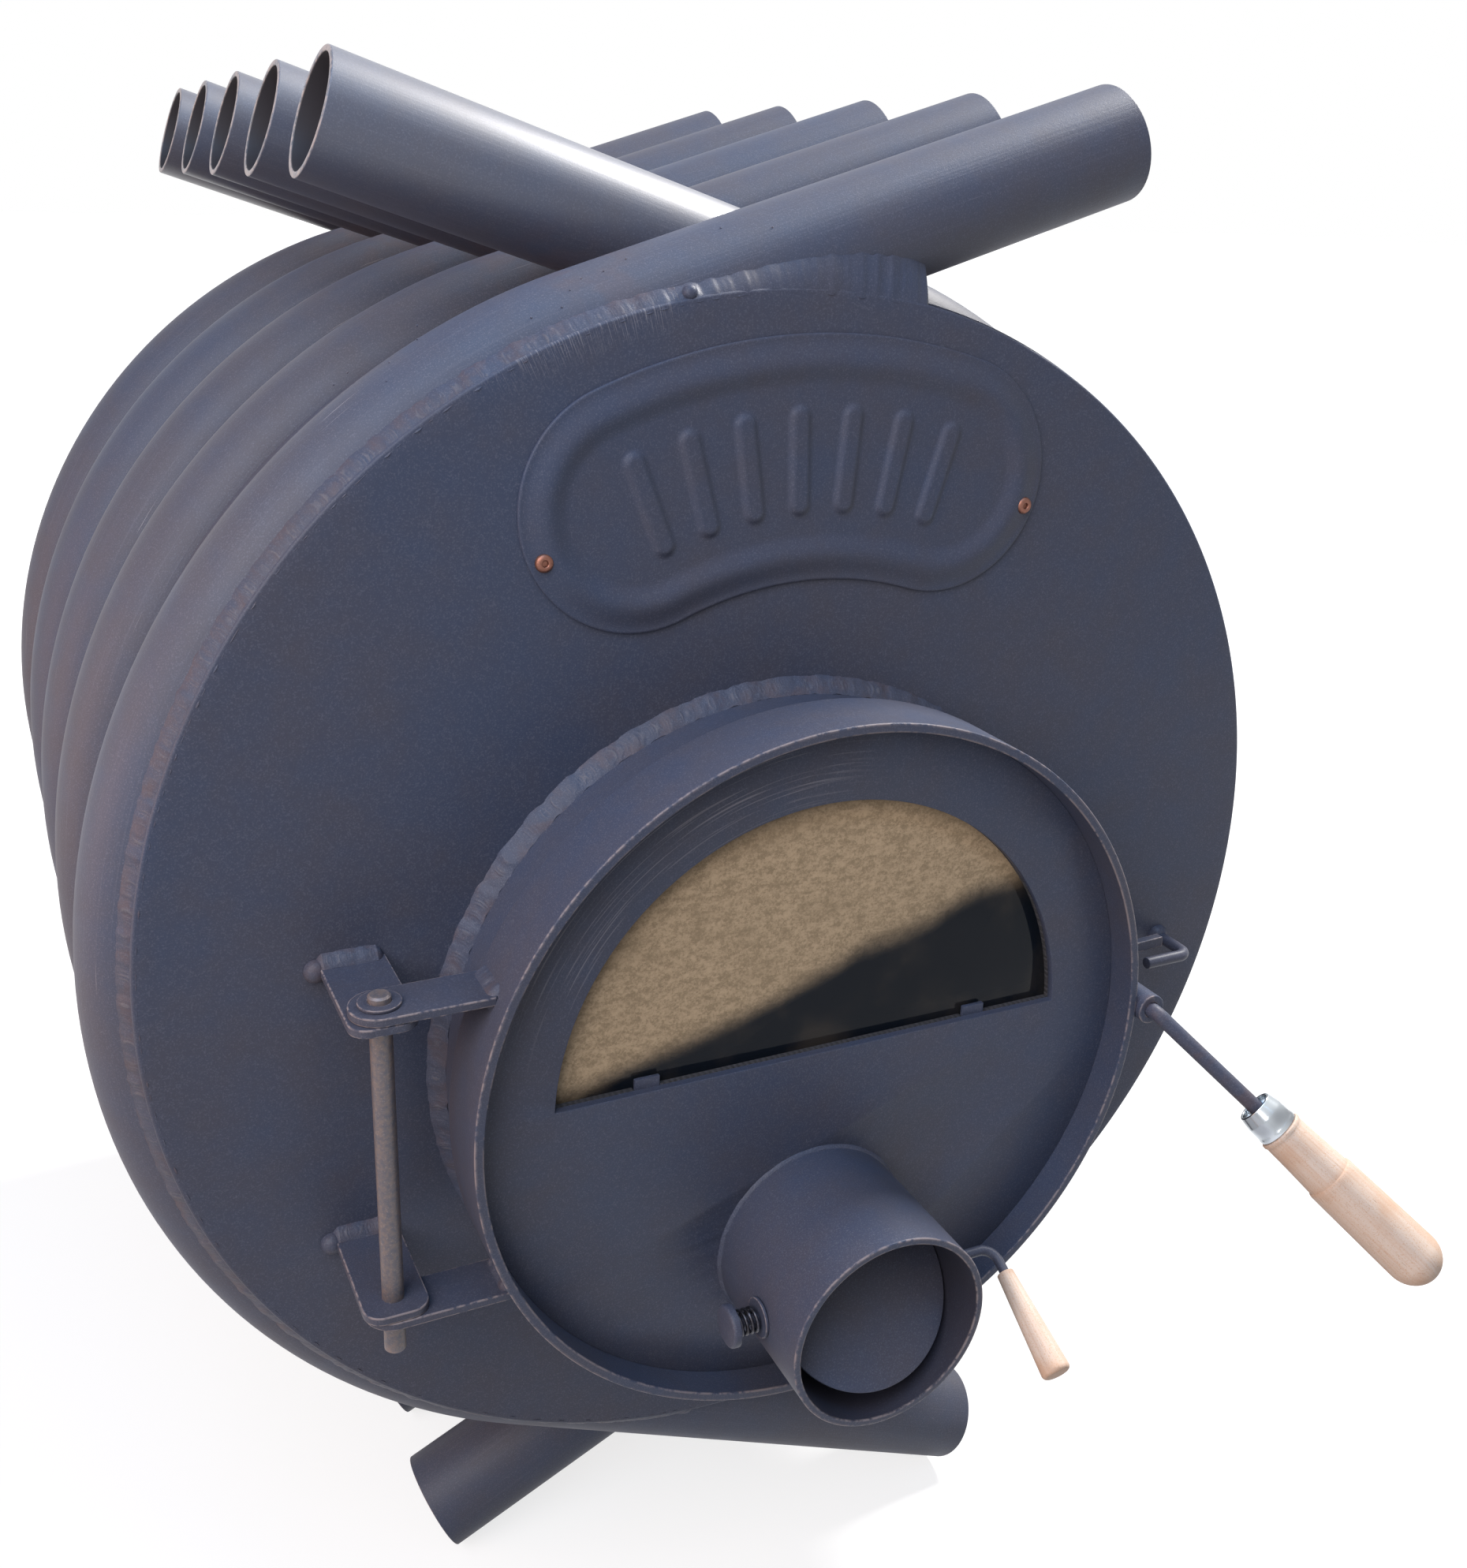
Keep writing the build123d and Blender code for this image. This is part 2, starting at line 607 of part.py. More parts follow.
def air_damper_spring():
    """The coil spring that holds the damper where it is set, as a row of touching-end turns."""
    coil_r = (AIR_SPRING_OD - AIR_SPRING_WIRE) / 2
    rise = AIR_SPRING_LENGTH - AIR_SPRING_WIRE
    helix = Helix(pitch=rise / AIR_SPRING_TURNS, height=rise, radius=coil_r)
    start = Plane(origin=helix @ 0, z_dir=helix % 0)
    coil = sweep(start * Circle(AIR_SPRING_WIRE / 2), path=helix, is_frenet=True)
    left = air_head_x() + AIR_SPRING_WIRE / 2
    return Pos(left, AIR_AXLE_Y, AIR_Z) * Rot(0, 90, 0) * coil


def air_damper_knob():
    """The small wooden cone on the cranked end."""
    cone = Cone(
        AIR_KNOB_NECK_OD / 2,
        AIR_KNOB_OD / 2,
        AIR_KNOB_LENGTH,
        align=(Align.CENTER, Align.CENTER, Align.MIN),
    )
    cone = fillet(cone.faces().sort_by(Axis.Z)[-1].edges(), AIR_KNOB_TIP)
    bore = Cylinder(
        AIR_AXLE_R + AIR_RUN_GAP,
        AIR_KNOB_BORE_DEPTH + AIR_RUN_GAP,
        align=(Align.CENTER, Align.CENTER, Align.MIN),
    )
    corner = Vector(AIR_R + AIR_CRANK_REACH, AIR_AXLE_Y, AIR_Z)
    foot = corner + air_crank_direction() * AIR_KNOB_START
    return on_axis(foot, air_crank_direction()) * (cone - bore)


def hinge_bracket(z_top):
    """A flat lug on the front plate that carries the hinge pin, with its weld bead."""
    nose = HINGE_Y - BRACKET_NOSE
    length = PLATE_FRONT - nose
    lug = Pos(HINGE_X, nose + length / 2) * Rectangle(BRACKET_WIDTH, length)
    lug = fillet(lug.vertices().group_by(Axis.Y)[0], BRACKET_CORNER)
    lug -= Pos(HINGE_X, HINGE_Y) * Circle(HINGE_PIN_R + HINGE_SEAT_GAP)
    plate = along_z(lug, z_top - BRACKET_THICKNESS, z_top)
    corner = Polyline((PLATE_FRONT, z_top), (PLATE_FRONT - BRACKET_WELD, z_top),
                      (PLATE_FRONT, z_top + BRACKET_WELD), close=True)
    half = BRACKET_WIDTH / 2
    return plate + along_x(make_face(corner), HINGE_X - half, HINGE_X + half)


def hinge_arm(z_low):
    """A flat arm from the pin to the door's shell, round at the pin."""
    half = ARM_WIDTH / 2
    bar = Pos(HINGE_X, HINGE_Y) * Circle(half)
    bar += Pos(HINGE_X / 2, HINGE_Y) * Rectangle(-HINGE_X, ARM_WIDTH)
    bar -= Pos(HINGE_X, HINGE_Y) * Circle(HINGE_PIN_R + HINGE_RUN_GAP)
    shell = rod_y(DOOR_RING_OUT, HINGE_Y - ARM_WIDTH, HINGE_Y + ARM_WIDTH, DOOR_Z)
    arm = along_z(bar, z_low, z_low + ARM_THICKNESS) - shell
    return arm.solids().sort_by(Axis.X)[0]


def hinge_pin():
    """The long pin through both arms and both lugs."""
    low = ARM_LOW_Z - PIN_BOTTOM_STANDOUT
    high = ARM_TOP_Z + ARM_THICKNESS + PIN_TOP_STANDOUT
    pin = along_z(Pos(HINGE_X, HINGE_Y) * Circle(HINGE_PIN_R), low, high)
    return chamfer(pin.edges().filter_by(GeomType.CIRCLE), HINGE_PIN_R * 0.15)


def hinge_snap_ring():
    """The ring that keeps the pin from dropping, above the top arm."""
    ring = Circle(SNAP_RING_OD / 2) - Circle(HINGE_PIN_R + HINGE_SEAT_GAP)
    return along_z(Pos(HINGE_X, HINGE_Y) * ring, SNAP_RING_Z, SNAP_RING_Z + SNAP_RING_THICKNESS)


def latch_sleeve():
    """The latch rod's bearing, welded to the door's shell."""
    return pipe_y(SLEEVE_R, LATCH_ROD_R + LATCH_RUN_GAP, SLEEVE_FRONT, SLEEVE_BACK, LATCH_Z, LATCH_X)


def latch_direction():
    """The way the latch handle points at rest: to the right, forwards and down."""
    lean = math.radians(LATCH_LEAN)
    aslant = math.radians(LATCH_ASLANT)
    return Vector(math.sin(lean) * math.cos(aslant), -math.cos(lean), -math.sin(lean) * math.sin(aslant))


def latch_corner():
    """The corner of the latch rod, just in front of its sleeve."""
    return Vector(LATCH_X, SLEEVE_FRONT - LATCH_BEND_AHEAD, LATCH_Z)


def latch_rod():
    """The bent latch rod, from behind the finger to inside the wooden grip."""
    far = latch_corner() + latch_direction() * (LATCH_SHANK + FERRULE_LENGTH + GRIP_TANG)
    points = [(LATCH_X, LATCH_TAIL_Y, LATCH_Z), tuple(latch_corner()), tuple(far)]
    return bent_rod(points, LATCH_ROD_R, LATCH_BEND_RADIUS)


def latch_finger():
    """The flat finger on the rod's tail that turns behind the catch."""
    bar = Pos(FINGER_REACH / 2, 0) * Rectangle(FINGER_REACH, FINGER_HEIGHT) + Circle(FINGER_EYE_OD / 2)
    bar -= Circle(LATCH_ROD_R + HINGE_SEAT_GAP)
    return along_y(Pos(LATCH_X, LATCH_Z) * Rot(0, 0, FINGER_LIFT) * bar, FINGER_FRONT, FINGER_BACK)


def latch_catch():
    """The bent round bar that is welded to the front plate."""
    points = [
        (CATCH_X, PLATE_FRONT, CATCH_Z),
        (CATCH_X, CATCH_Y, CATCH_Z),
        (CATCH_END_X, CATCH_Y, CATCH_Z),
    ]
    weld = Pos(CATCH_X, PLATE_FRONT, CATCH_Z) * Sphere(CATCH_WELD_OD / 2)
    behind = Pos(CATCH_X, PLATE_FRONT + CATCH_WELD_OD, CATCH_Z) * Box(*[2 * CATCH_WELD_OD] * 3)
    return bent_rod(points, CATCH_R, CATCH_BEND) + (weld - behind)


def turned(profile, foot):
    """Turn a half profile about the latch handle's axis."""
    piece = revolve(Plane.XZ * make_face(profile), Axis.Z)
    return on_axis(foot, latch_direction()) * piece


def latch_ferrule():
    """The tapered metal ferrule at the front of the grip."""
    foot = latch_corner() + latch_direction() * LATCH_SHANK
    bore = LATCH_ROD_R + LATCH_RUN_GAP
    rim = FERRULE_OD / 2
    neck = FERRULE_NECK_OD / 2
    points = [(bore, 0), (neck, 0), (rim, FERRULE_LENGTH * 0.8), (rim, FERRULE_LENGTH)]
    return turned(Polyline(*points, (bore, FERRULE_LENGTH), close=True), foot)


def latch_grip():
    """The wooden grip: a waist at the ferrule, a small step and a rounded end."""
    foot = latch_corner() + latch_direction() * (LATCH_SHANK + FERRULE_LENGTH)
    bore = LATCH_ROD_R + LATCH_RUN_GAP
    depth = GRIP_TANG + LATCH_RUN_GAP
    waist = GRIP_WAIST_OD / 2
    full = GRIP_OD / 2
    round_from = GRIP_LENGTH - full
    outline = Polyline((0, depth), (bore, depth), (bore, 0), (waist - GRIP_STEP, 0),
                       (waist, GRIP_STEP_AT), (waist + GRIP_STEP, GRIP_STEP_AT + GRIP_STEP))
    outline += Line((waist + GRIP_STEP, GRIP_STEP_AT + GRIP_STEP), (full, round_from))
    outline += CenterArc((0, round_from), full, 0, 90)
    outline += Line((0, GRIP_LENGTH), (0, depth))
    return turned(outline, foot)


def badge_outline(half_width):
    """A kidney shape: a band about the drum's axis with round ends."""
    arc = CenterArc((0, 0), BADGE_RADIUS, 90 - BADGE_HALF_SWEEP, 2 * BADGE_HALF_SWEEP)
    return badge_place() * SlotArc(arc, 2 * half_width)


def badge_place():
    """How the badge is riveted on: a little aside, and leaning about its middle."""
    return Pos(BADGE_ASIDE, BADGE_RADIUS) * Rot(0, 0, BADGE_LEAN) * Pos(0, -BADGE_RADIUS)


def rivet_places():
    """X and Z of the badge's rivets, which lean with it."""
    lean = math.radians(BADGE_LEAN)
    drop = RIVET_Z - BADGE_RADIUS
    places = []
    for x in (-RIVET_X, RIVET_X):
        aside = BADGE_ASIDE + x * math.cos(lean) - drop * math.sin(lean)
        places.append((aside, BADGE_RADIUS + x * math.sin(lean) + drop * math.cos(lean)))
    return places


def badge_plate():
    """The pressed kidney plate, with a raised rim and a plain fan of ribs."""
    rim = BADGE_HALF_WIDTH - BADGE_RIM_START
    field_front = PLATE_FRONT - BADGE_THICKNESS
    plate = along_y(badge_outline(BADGE_HALF_WIDTH), field_front, PLATE_FRONT)
    band = badge_outline(rim) - badge_outline(rim - BADGE_RIM_WIDTH)
    plate += along_y(band, field_front - BADGE_RIM_RISE, field_front)
    for i in range(BADGE_RIBS):
        turn = (i - (BADGE_RIBS - 1) / 2) * BADGE_RIB_STEP
        rib = badge_place() * Rot(0, 0, turn) * Pos(0, BADGE_RADIUS) * Rot(0, 0, 90)
        plate += along_y(rib * SlotOverall(BADGE_RIB_LENGTH, BADGE_RIB_WIDTH), field_front - BADGE_RIB_RISE, field_front)
    for x, z in rivet_places():
        plate -= rod_y(RIVET_OD / 2, field_front - BADGE_RIM_RISE, field_front, z, x)
    return plate


def badge_rivets():
    """The two copper blind rivets that hold the badge."""
    front = PLATE_FRONT - BADGE_THICKNESS
    rivets = []
    for x, z in rivet_places():
        head = rod_y(RIVET_OD / 2, front - RIVET_RISE, front, z, x)
        rim = head.faces().sort_by(Axis.Y)[0].edges()
        rivets.append(fillet(rim, RIVET_RISE * 0.5) - rod_y(RIVET_HOLE / 2, front - RIVET_RISE, front, z, x))
    return Compound(rivets)


def flue_collar():
    """The flue pipe collar with its stop bead, drilled across for the damper's axle."""
    pipe = pipe_y(FLUE_R, FLUE_BORE, REAR_BACK, FLUE_END, FLUE_RISE)
    pipe += pipe_y(FLUE_R + FLUE_STOP_RISE, FLUE_BORE, FLUE_STOP_FRONT, FLUE_STOP_BACK, FLUE_RISE)
    hole = Pos(FLUE_AXLE_Y, FLUE_RISE) * Circle(FLUE_AXLE_R + HINGE_RUN_GAP)
    return pipe - along_x(hole, -FLUE_OD, FLUE_OD)


def flue_damper_disc():
    """The flue damper with its open quarter, welded along the back of its axle."""
    disc = Circle(FLUE_BORE - FLUE_DISC_GAP) - Pos(FLUE_BORE / 2, FLUE_BORE / 2) * Rectangle(FLUE_BORE, FLUE_BORE)
    back = FLUE_AXLE_Y + FLUE_AXLE_R
    return along_y(Pos(0, FLUE_RISE) * disc, back, back + FLUE_DISC_THICKNESS)


def flue_crank_points():
    """The flue damper's axle line, from its plain end to the tip of its crank."""
    x = FLUE_R + FLUE_CRANK_REACH
    return [
        (-FLUE_R - FLUE_AXLE_TAIL, FLUE_AXLE_Y, FLUE_RISE),
        (x, FLUE_AXLE_Y, FLUE_RISE),
        (x, FLUE_AXLE_Y, FLUE_RISE - FLUE_CRANK_LENGTH),
    ]


def flue_damper_axle():
    """The flue damper's axle, bent down at the right as its handle."""
    return bent_rod(flue_crank_points(), FLUE_AXLE_R, FLUE_CRANK_BEND)


def drum_parts():
    """The bent tubes and the skin strips of both sides."""
    parts = {}
    for side, word in ((-1, "left"), (1, "right")):
        for number in range(1, TUBES_PER_SIDE + 1):
            parts[f"tube_{word}_{number}"] = drum_tube(side, number)
            parts[f"skin_strip_{word}_{number}"] = skin_strip(side, number)
    return parts


def body_parts():
    """The other fixed pieces."""
    return {
        "front_plate": front_plate(),
        "rear_plate": rear_plate(),
        "door_neck": door_neck(),
        "baffle_front": shelf(SHELF_START, SHELF_SPLIT - SHELF_JOINT),
        "baffle_rear": shelf(SHELF_SPLIT, REAR_FACE),
        "baffle_rails": shelf_rails(),
        "injector_tubes": injector_tubes(),
        "flue_collar": flue_collar(),
        "hinge_bracket_top": hinge_bracket(BRACKET_TOP_Z),
        "hinge_bracket_bottom": hinge_bracket(BRACKET_LOW_Z),
        "hinge_pin": hinge_pin(),
        "hinge_snap_ring": hinge_snap_ring(),
        "latch_catch": latch_catch(),
        "badge_plate": badge_plate(),
        "badge_rivets": badge_rivets(),
    }


def door_parts():
    """The pieces that swing with the door."""
    return {
        "door_ring": door_ring(),
        "door_disc": door_disc(),
        "door_inner_ring": door_inner_ring(),
        "door_rope_seal": door_rope_seal(),
        "window_glass": window_glass(),
        "glass_gasket": glass_gasket(),
        "glass_frame": glass_frame(),
        "glass_clips": glass_clips(),
        "glass_fasteners": glass_fasteners(),
        "air_tube": air_tube(),
        "air_deflector": air_deflector(),
        "hinge_arm_top": hinge_arm(ARM_TOP_Z),
        "hinge_arm_bottom": hinge_arm(ARM_LOW_Z),
        "latch_sleeve": latch_sleeve(),
    }


def moving_parts():
    """The latch and the two dampers."""
    return {
        "latch_rod": latch_rod(),
        "latch_finger": latch_finger(),
        "latch_ferrule": latch_ferrule(),
        "latch_grip": latch_grip(),
        "air_damper_disc": air_damper_disc(),
        "air_damper_axle": air_damper_axle(),
        "air_damper_washer": air_damper_washer(),
        "air_damper_spring": air_damper_spring(),
        "air_damper_knob": air_damper_knob(),
        "flue_damper_disc": flue_damper_disc(),
        "flue_damper_axle": flue_damper_axle(),
    }


def set_down_shift():
    """From the drum's axis to the floor under the middle of the stove."""
    lowest = tube_axis_ends(1)[-1][1] - TUBE_R * math.cos(math.radians(BOTTOM_SLOPE))
    grip_end = LATCH_SHANK + FERRULE_LENGTH + GRIP_LENGTH - GRIP_OD / 2
    front = (latch_corner() + latch_direction() * grip_end).Y - GRIP_OD / 2
    return (0, -(front + FLUE_END) / 2, -lowest)


def main():
    """Write each piece to its own file."""
    os.makedirs("parts", exist_ok=True)
    parts = {**drum_parts(), **body_parts(), **door_parts(), **moving_parts()}
    shift = Pos(*set_down_shift())
    for name, piece in parts.items():
        export_step(shift * piece, f"parts/{name}.step")


if __name__ == "__main__":
    main()
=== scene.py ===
import math

import bmesh
import bpy
import numpy as np
from bpy.props import FloatProperty, FloatVectorProperty, IntProperty, PointerProperty
from mathutils import Matrix, Vector


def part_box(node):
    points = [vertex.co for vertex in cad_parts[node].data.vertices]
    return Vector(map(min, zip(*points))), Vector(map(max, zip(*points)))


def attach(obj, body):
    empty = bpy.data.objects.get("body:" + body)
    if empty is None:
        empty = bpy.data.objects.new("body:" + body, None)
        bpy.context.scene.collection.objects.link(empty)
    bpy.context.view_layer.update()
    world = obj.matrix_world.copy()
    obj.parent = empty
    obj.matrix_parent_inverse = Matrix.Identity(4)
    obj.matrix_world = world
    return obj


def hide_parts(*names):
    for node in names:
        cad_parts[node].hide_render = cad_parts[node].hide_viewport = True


bl_info = {
    "name": "Hot Air Stove",
    "version": (1, 0, 0),
    "blender": (4, 5, 0),
    "location": "3D View > Sidebar > Stove",
    "description": "Builds a welded hot air stove with bent air tubes around its measured frame",
    "category": "Add Mesh",
}

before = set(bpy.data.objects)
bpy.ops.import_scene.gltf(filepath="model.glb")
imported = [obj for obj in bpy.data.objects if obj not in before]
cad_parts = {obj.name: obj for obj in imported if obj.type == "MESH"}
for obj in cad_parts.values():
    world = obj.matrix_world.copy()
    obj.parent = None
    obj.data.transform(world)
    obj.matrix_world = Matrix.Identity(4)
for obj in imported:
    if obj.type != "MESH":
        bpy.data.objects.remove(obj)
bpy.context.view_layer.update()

MM = 0.001
X, Y, Z = 0, 1, 2
FORWARD = np.array([0.0, -1.0, 0.0])
UP = np.array([0.0, 0.0, 1.0])
RIGHT = np.array([1.0, 0.0, 0.0])
BOX = {name: np.array([tuple(corner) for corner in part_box(name)]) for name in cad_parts}


def low(node, axis):
    """The smallest coordinate of a frame node along one axis."""
    return float(BOX[node][0, axis])


def high(node, axis):
    """The largest coordinate of a frame node along one axis."""
    return float(BOX[node][1, axis])


def middle(node, axis):
    """The middle of a frame node along one axis."""
    return float(BOX[node][:, axis].mean())


def extent(node, axis):
    """How long a frame node is along one axis."""
    return float(BOX[node][1, axis] - BOX[node][0, axis])


# The drum, read from the frame
DRUM_Z = middle("front_plate", Z)
PLATE_R = extent("front_plate", X) / 2
PLATE_FRONT = low("front_plate", Y)
PLATE_BACK = high("front_plate", Y)
REAR_FACE = low("rear_plate", Y)
REAR_BACK = high("rear_plate", Y)
TUBE_R = extent("tube_left_1", Y) / 2
RING_R = -low("tube_left_1", X) - TUBE_R
SHELL_OUT = high("skin_strip_right_2", X)
TUBE_NUMBERS = range(1, 6)

# The door, read from the frame
DOOR_Z = middle("door_ring", Z)
RING_OUT = extent("door_ring", X) / 2
RING_FRONT = low("door_ring", Y)
RING_BACK = high("door_ring", Y)
RING_IN = extent("door_disc", X) / 2
DISC_FRONT = low("door_disc", Y)
NECK_FRONT = low("door_neck", Y)
AIR_Z = middle("air_tube", Z)
AIR_R = extent("air_tube", X) / 2
AIR_FRONT = low("air_tube", Y)
AIR_AXLE_Y = middle("air_damper_washer", Y)
HINGE_X = middle("hinge_pin", X)
HINGE_Y = middle("hinge_pin", Y)
PIN_R = extent("hinge_pin", X) / 2
LATCH_X = middle("latch_sleeve", X)
LATCH_Z = middle("latch_sleeve", Z)
FLUE_Z = middle("flue_collar", Z)
FLUE_END = high("flue_collar", Y)
FLUE_AXLE_Y = middle("flue_damper_axle", Y)

SIDES = (("left", -1), ("right", 1))
WELD_CREASE = 80.0
WELD_STEP = 0.42 * MM

# Where the drum's welds and spatter start and end about its axis, from the right and upwards, in degrees
FRONT_SEAM = (100.0, 264.0)
STUB_PATCH = (76.5, 103.0)
REAR_SEAM = (-84.0, 80.0)
SPATTER_ARC = (88.0, 128.0)
LARGE_BALL = 99.6

# Each soft lamp's name, place, size, power in watts and tint
LAMPS = (
    ("key", (1.95, 0.3, 2.7), (0.6, 0.6), 180.0, (1.0, 0.97, 0.93)),
    ("overhead", (-0.2, -0.8, 2.4), (1.2, 1.2), 20.0, (0.36, 0.64, 1.0)),
    ("low_left", (-2.4, 0.1, 0.5), (1.6, 1.3), 30.0, (1.0, 0.56, 0.34)),
    ("front", (-1.1, -0.95, 1.4), (1.3, 1.3), 31.0, (1.0, 0.96, 0.97)),
)

# The photograph's view: its lens and frame, its place from the plate's face and the drum's axis, and its
# directions
CAMERA_LENS = 38.107
CAMERA_SHIFT = (0.01993, -0.03465)
CAMERA_PLACE = (-0.340318, PLATE_FRONT - 0.628225, DRUM_Z + 0.347021)
CAMERA_RIGHT = (0.90582175, -0.42272172, 0.02816572)
CAMERA_ABOVE = (0.11652512, 0.3125081, 0.94274099)
CAMERA_AHEAD = (0.40731911, 0.85067328, -0.33233434)


def length(name, default, description):
    """A length property in metres."""
    return FloatProperty(
        name=name, description=description, default=default, min=0.0, precision=5, unit="LENGTH"
    )


def slope(name, default, description):
    """An angle property, given here in degrees."""
    return FloatProperty(name=name, description=description, default=math.radians(default), subtype="ANGLE")


def chip(name, red, green, blue, description):
    """A colour property, given here as a paint chip's 0 to 255 values and kept as linear light."""
    linear = [(value / 255.0) ** 2.2 for value in (red, green, blue)]
    return FloatVectorProperty(
        name=name, description=description, default=(*linear, 1.0), size=4, min=0.0, max=1.0, subtype="COLOR"
    )


class StoveSizes(bpy.types.PropertyGroup):
    """Sizes that the frame's boxes don't give."""

    top_slope: slope("Upper stub slope", 17.5, "Rise of a tube's upper stub above level")
    bottom_slope: slope("Lower stub slope", 25.0, "Fall of a tube's lower stub below level")
    tube_wall: length("Tube wall", 3 * MM, "Wall of the drum tubes")
    rim_ease: length("Rim easing", 0.7 * MM, "Rounding of cut pipe rims")
    strip_wall: length("Strip wall", 3 * MM, "Wall of the skin strips")
    strip_ends: slope("Strip ends", 11.5, "How far beside the drum's top the skin strips start")
    strip_tail: slope("Strip tails", 4.0, "How far the skin strips stop short of the drum's bottom")
    plate_ease: length("Plate easing", 1.6 * MM, "Rounding of the end plates' edges")
    neck_weld: length("Neck weld", 8 * MM, "Leg of the weld at the door neck")
    neck_wall: length("Neck wall", 4 * MM, "Wall of the door neck")
    seal_wall: length("Seal wall", 3 * MM, "Wall of the ring inside the rope seal")
    seam_inset: length("Seam inset", 2.2 * MM, "How far the drum's seam weld lies on the front plate")
    seam_reach: length("Seam reach", 5 * MM, "How far the drum's seam weld lies on the first tube")
    patch_reach: length("Patch reach", 13 * MM, "How much further the seam spreads under the stub")
    crossing_half: length("Crossing weld", 26 * MM, "Half the length of a crossing's weld")
    crossing_gap: length("Crossing gap", 7 * MM, "From a crossing weld's middle to its toes")
    crossing_drop: length("Crossing depth", 18 * MM, "How deep in the groove a crossing's weld lies")
    ripple: length("Weld ripple", 2.6 * MM, "Distance between the ripples of a weld")
    air_wall: length("Inlet wall", 3.5 * MM, "Wall of the air inlet pipe")
    crank_drop: slope("Damper crank slope", 27.6, "Fall of the air damper's handle")
    damper_tilt: slope("Damper tilt", 38.0, "Lean of the air damper's disc at rest")
    damper_disc: length("Damper disc", 2 * MM, "Thickness of the damper discs")
    damper_axle: length("Damper axle", 2.5 * MM, "Radius of the air damper's axle")
    damper_button: length("Damper button", 10 * MM, "Radius of the button on the air damper's axle")
    spring_wire: length("Spring wire", 0.8 * MM, "Radius of the spring's wire")
    spring_turns: IntProperty(name="Spring turns", description="Turns of the spring", default=4, min=1)
    crank_bend: length("Crank bend", 8 * MM, "Bend radius of the air damper's crank and of the latch rod")
    knob_start: length("Knob start", 14 * MM, "From the crank's corner to its wooden knob")
    knob_length: length("Knob length", 53 * MM, "Length of the wooden knob")
    knob_round: length("Knob rounding", 2.2 * MM, "Rounding of the knob's thick end")
    knob_neck: length("Knob neck", 4.3 * MM, "Radius of the knob's thin end")
    knob_tip: length("Knob tip", 7.5 * MM, "Radius of the knob's thick end")
    pin_chamfer: length("Pin chamfer", 0.9 * MM, "Chamfer at the hinge pin's ends")
    lug_plate: length("Hinge plate", 4 * MM, "Thickness of the hinge lugs")
    lug_corner: length("Lug corner", 9 * MM, "Rounding of the hinge lugs' free corners")
    lug_ball: length("Lug ball", 5.4 * MM, "Radius of the lump of weld at a hinge lug's left end")
    lug_weld: length("Lug weld", 5.6 * MM, "Leg of the weld on the hinge lugs")
    latch_lean: slope("Latch lean", 51.0, "Turn of the latch handle away from its rod")
    latch_aslant: slope("Latch slant", 49.0, "Fall of the latch handle to the right")
    latch_ahead: length("Latch bend", 4 * MM, "From the sleeve to the corner of the latch rod")
    latch_rod: length("Latch rod", 4 * MM, "Radius of the latch rod")
    latch_shank: length("Latch shank", 67 * MM, "From the latch rod's corner to the ferrule")
    finger_lift: slope("Finger lift", 2.5, "Rise of the latch finger above level")
    finger_half: length("Finger half width", 3 * MM, "Half of the latch finger's width")
    ferrule_length: length("Ferrule length", 17 * MM, "Length of the ferrule")
    ferrule_neck: length("Ferrule neck", 9.5 * MM, "Radius of the ferrule's thin end")
    ferrule_rim: length("Ferrule rim", 11.3 * MM, "Radius of the ferrule's wide end")
    grip_length: length("Grip length", 103 * MM, "Length of the wooden grip")
    grip_waist: length("Grip waist", 12.9 * MM, "Radius of the grip before its small step")
    grip_belly: length("Grip belly", 14.5 * MM, "Radius of the grip at its round end")
    grip_step: length("Grip step", 33 * MM, "From the ferrule to the grip's small step")
    catch_rod: length("Catch rod", 3.25 * MM, "Radius of the latch catch")
    catch_bend: length("Catch bend", 6 * MM, "Bend radius of the latch catch")
    catch_weld: length("Catch weld", 6.6 * MM, "Radius of the catch's weld")
    badge_spine: length("Badge radius", 229 * MM, "Radius of the badge's middle line about the drum's axis")
    badge_half: length("Badge half width", 57 * MM, "Half of the badge's width")
    badge_sweep: slope("Badge half sweep", 20.3, "Half of the badge's sweep about the drum's axis")
    badge_lean: slope("Badge lean", 2.5, "How far the badge is turned, left end down")
    badge_aside: length("Badge aside", 4.3 * MM, "How far the badge sits to the right")
    badge_sheet: length("Badge sheet", 1.5 * MM, "Height of the badge's field above the plate")
    badge_edge: length("Badge edge", 1.5 * MM, "Width of the badge's flat edge")
    badge_crest: length("Badge crest", 13 * MM, "From the badge's edge to the crest of its rim")
    badge_inner: length("Badge inner", 23 * MM, "From the badge's edge to where its field starts")
    badge_rise: length("Badge rim rise", 2.4 * MM, "Height of the badge's rim above its field")
    badge_ribs: IntProperty(name="Badge ribs", description="Plain ribs in the field", default=7, min=1)
    rib_step: slope("Rib step", 6.4, "Angle between the badge's ribs")
    rib_length: length("Rib length", 52 * MM, "Length of a badge rib")
    rib_width: length("Rib width", 12 * MM, "Width of a badge rib")
    rib_crest: length("Rib crest", 2.6 * MM, "Half width of a rib's flat crest")
    rib_rise: length("Rib rise", 1.8 * MM, "Height of a badge rib above the field")
    rivet: length("Rivet", 4.2 * MM, "Radius of the badge's rivets")
    flue_radius: length("Flue radius", 60 * MM, "Outer radius of the flue collar")
    flue_wall: length("Flue wall", 3 * MM, "Wall of the flue collar")
    flue_stop: length("Flue stop", 44 * MM, "From the rear plate to the collar's stop bead")
    flue_bend: length("Flue crank bend", 10 * MM, "Bend radius of the flue damper's crank")
    flue_bead: length("Flue bead", 4 * MM, "Width of the collar's stop bead")


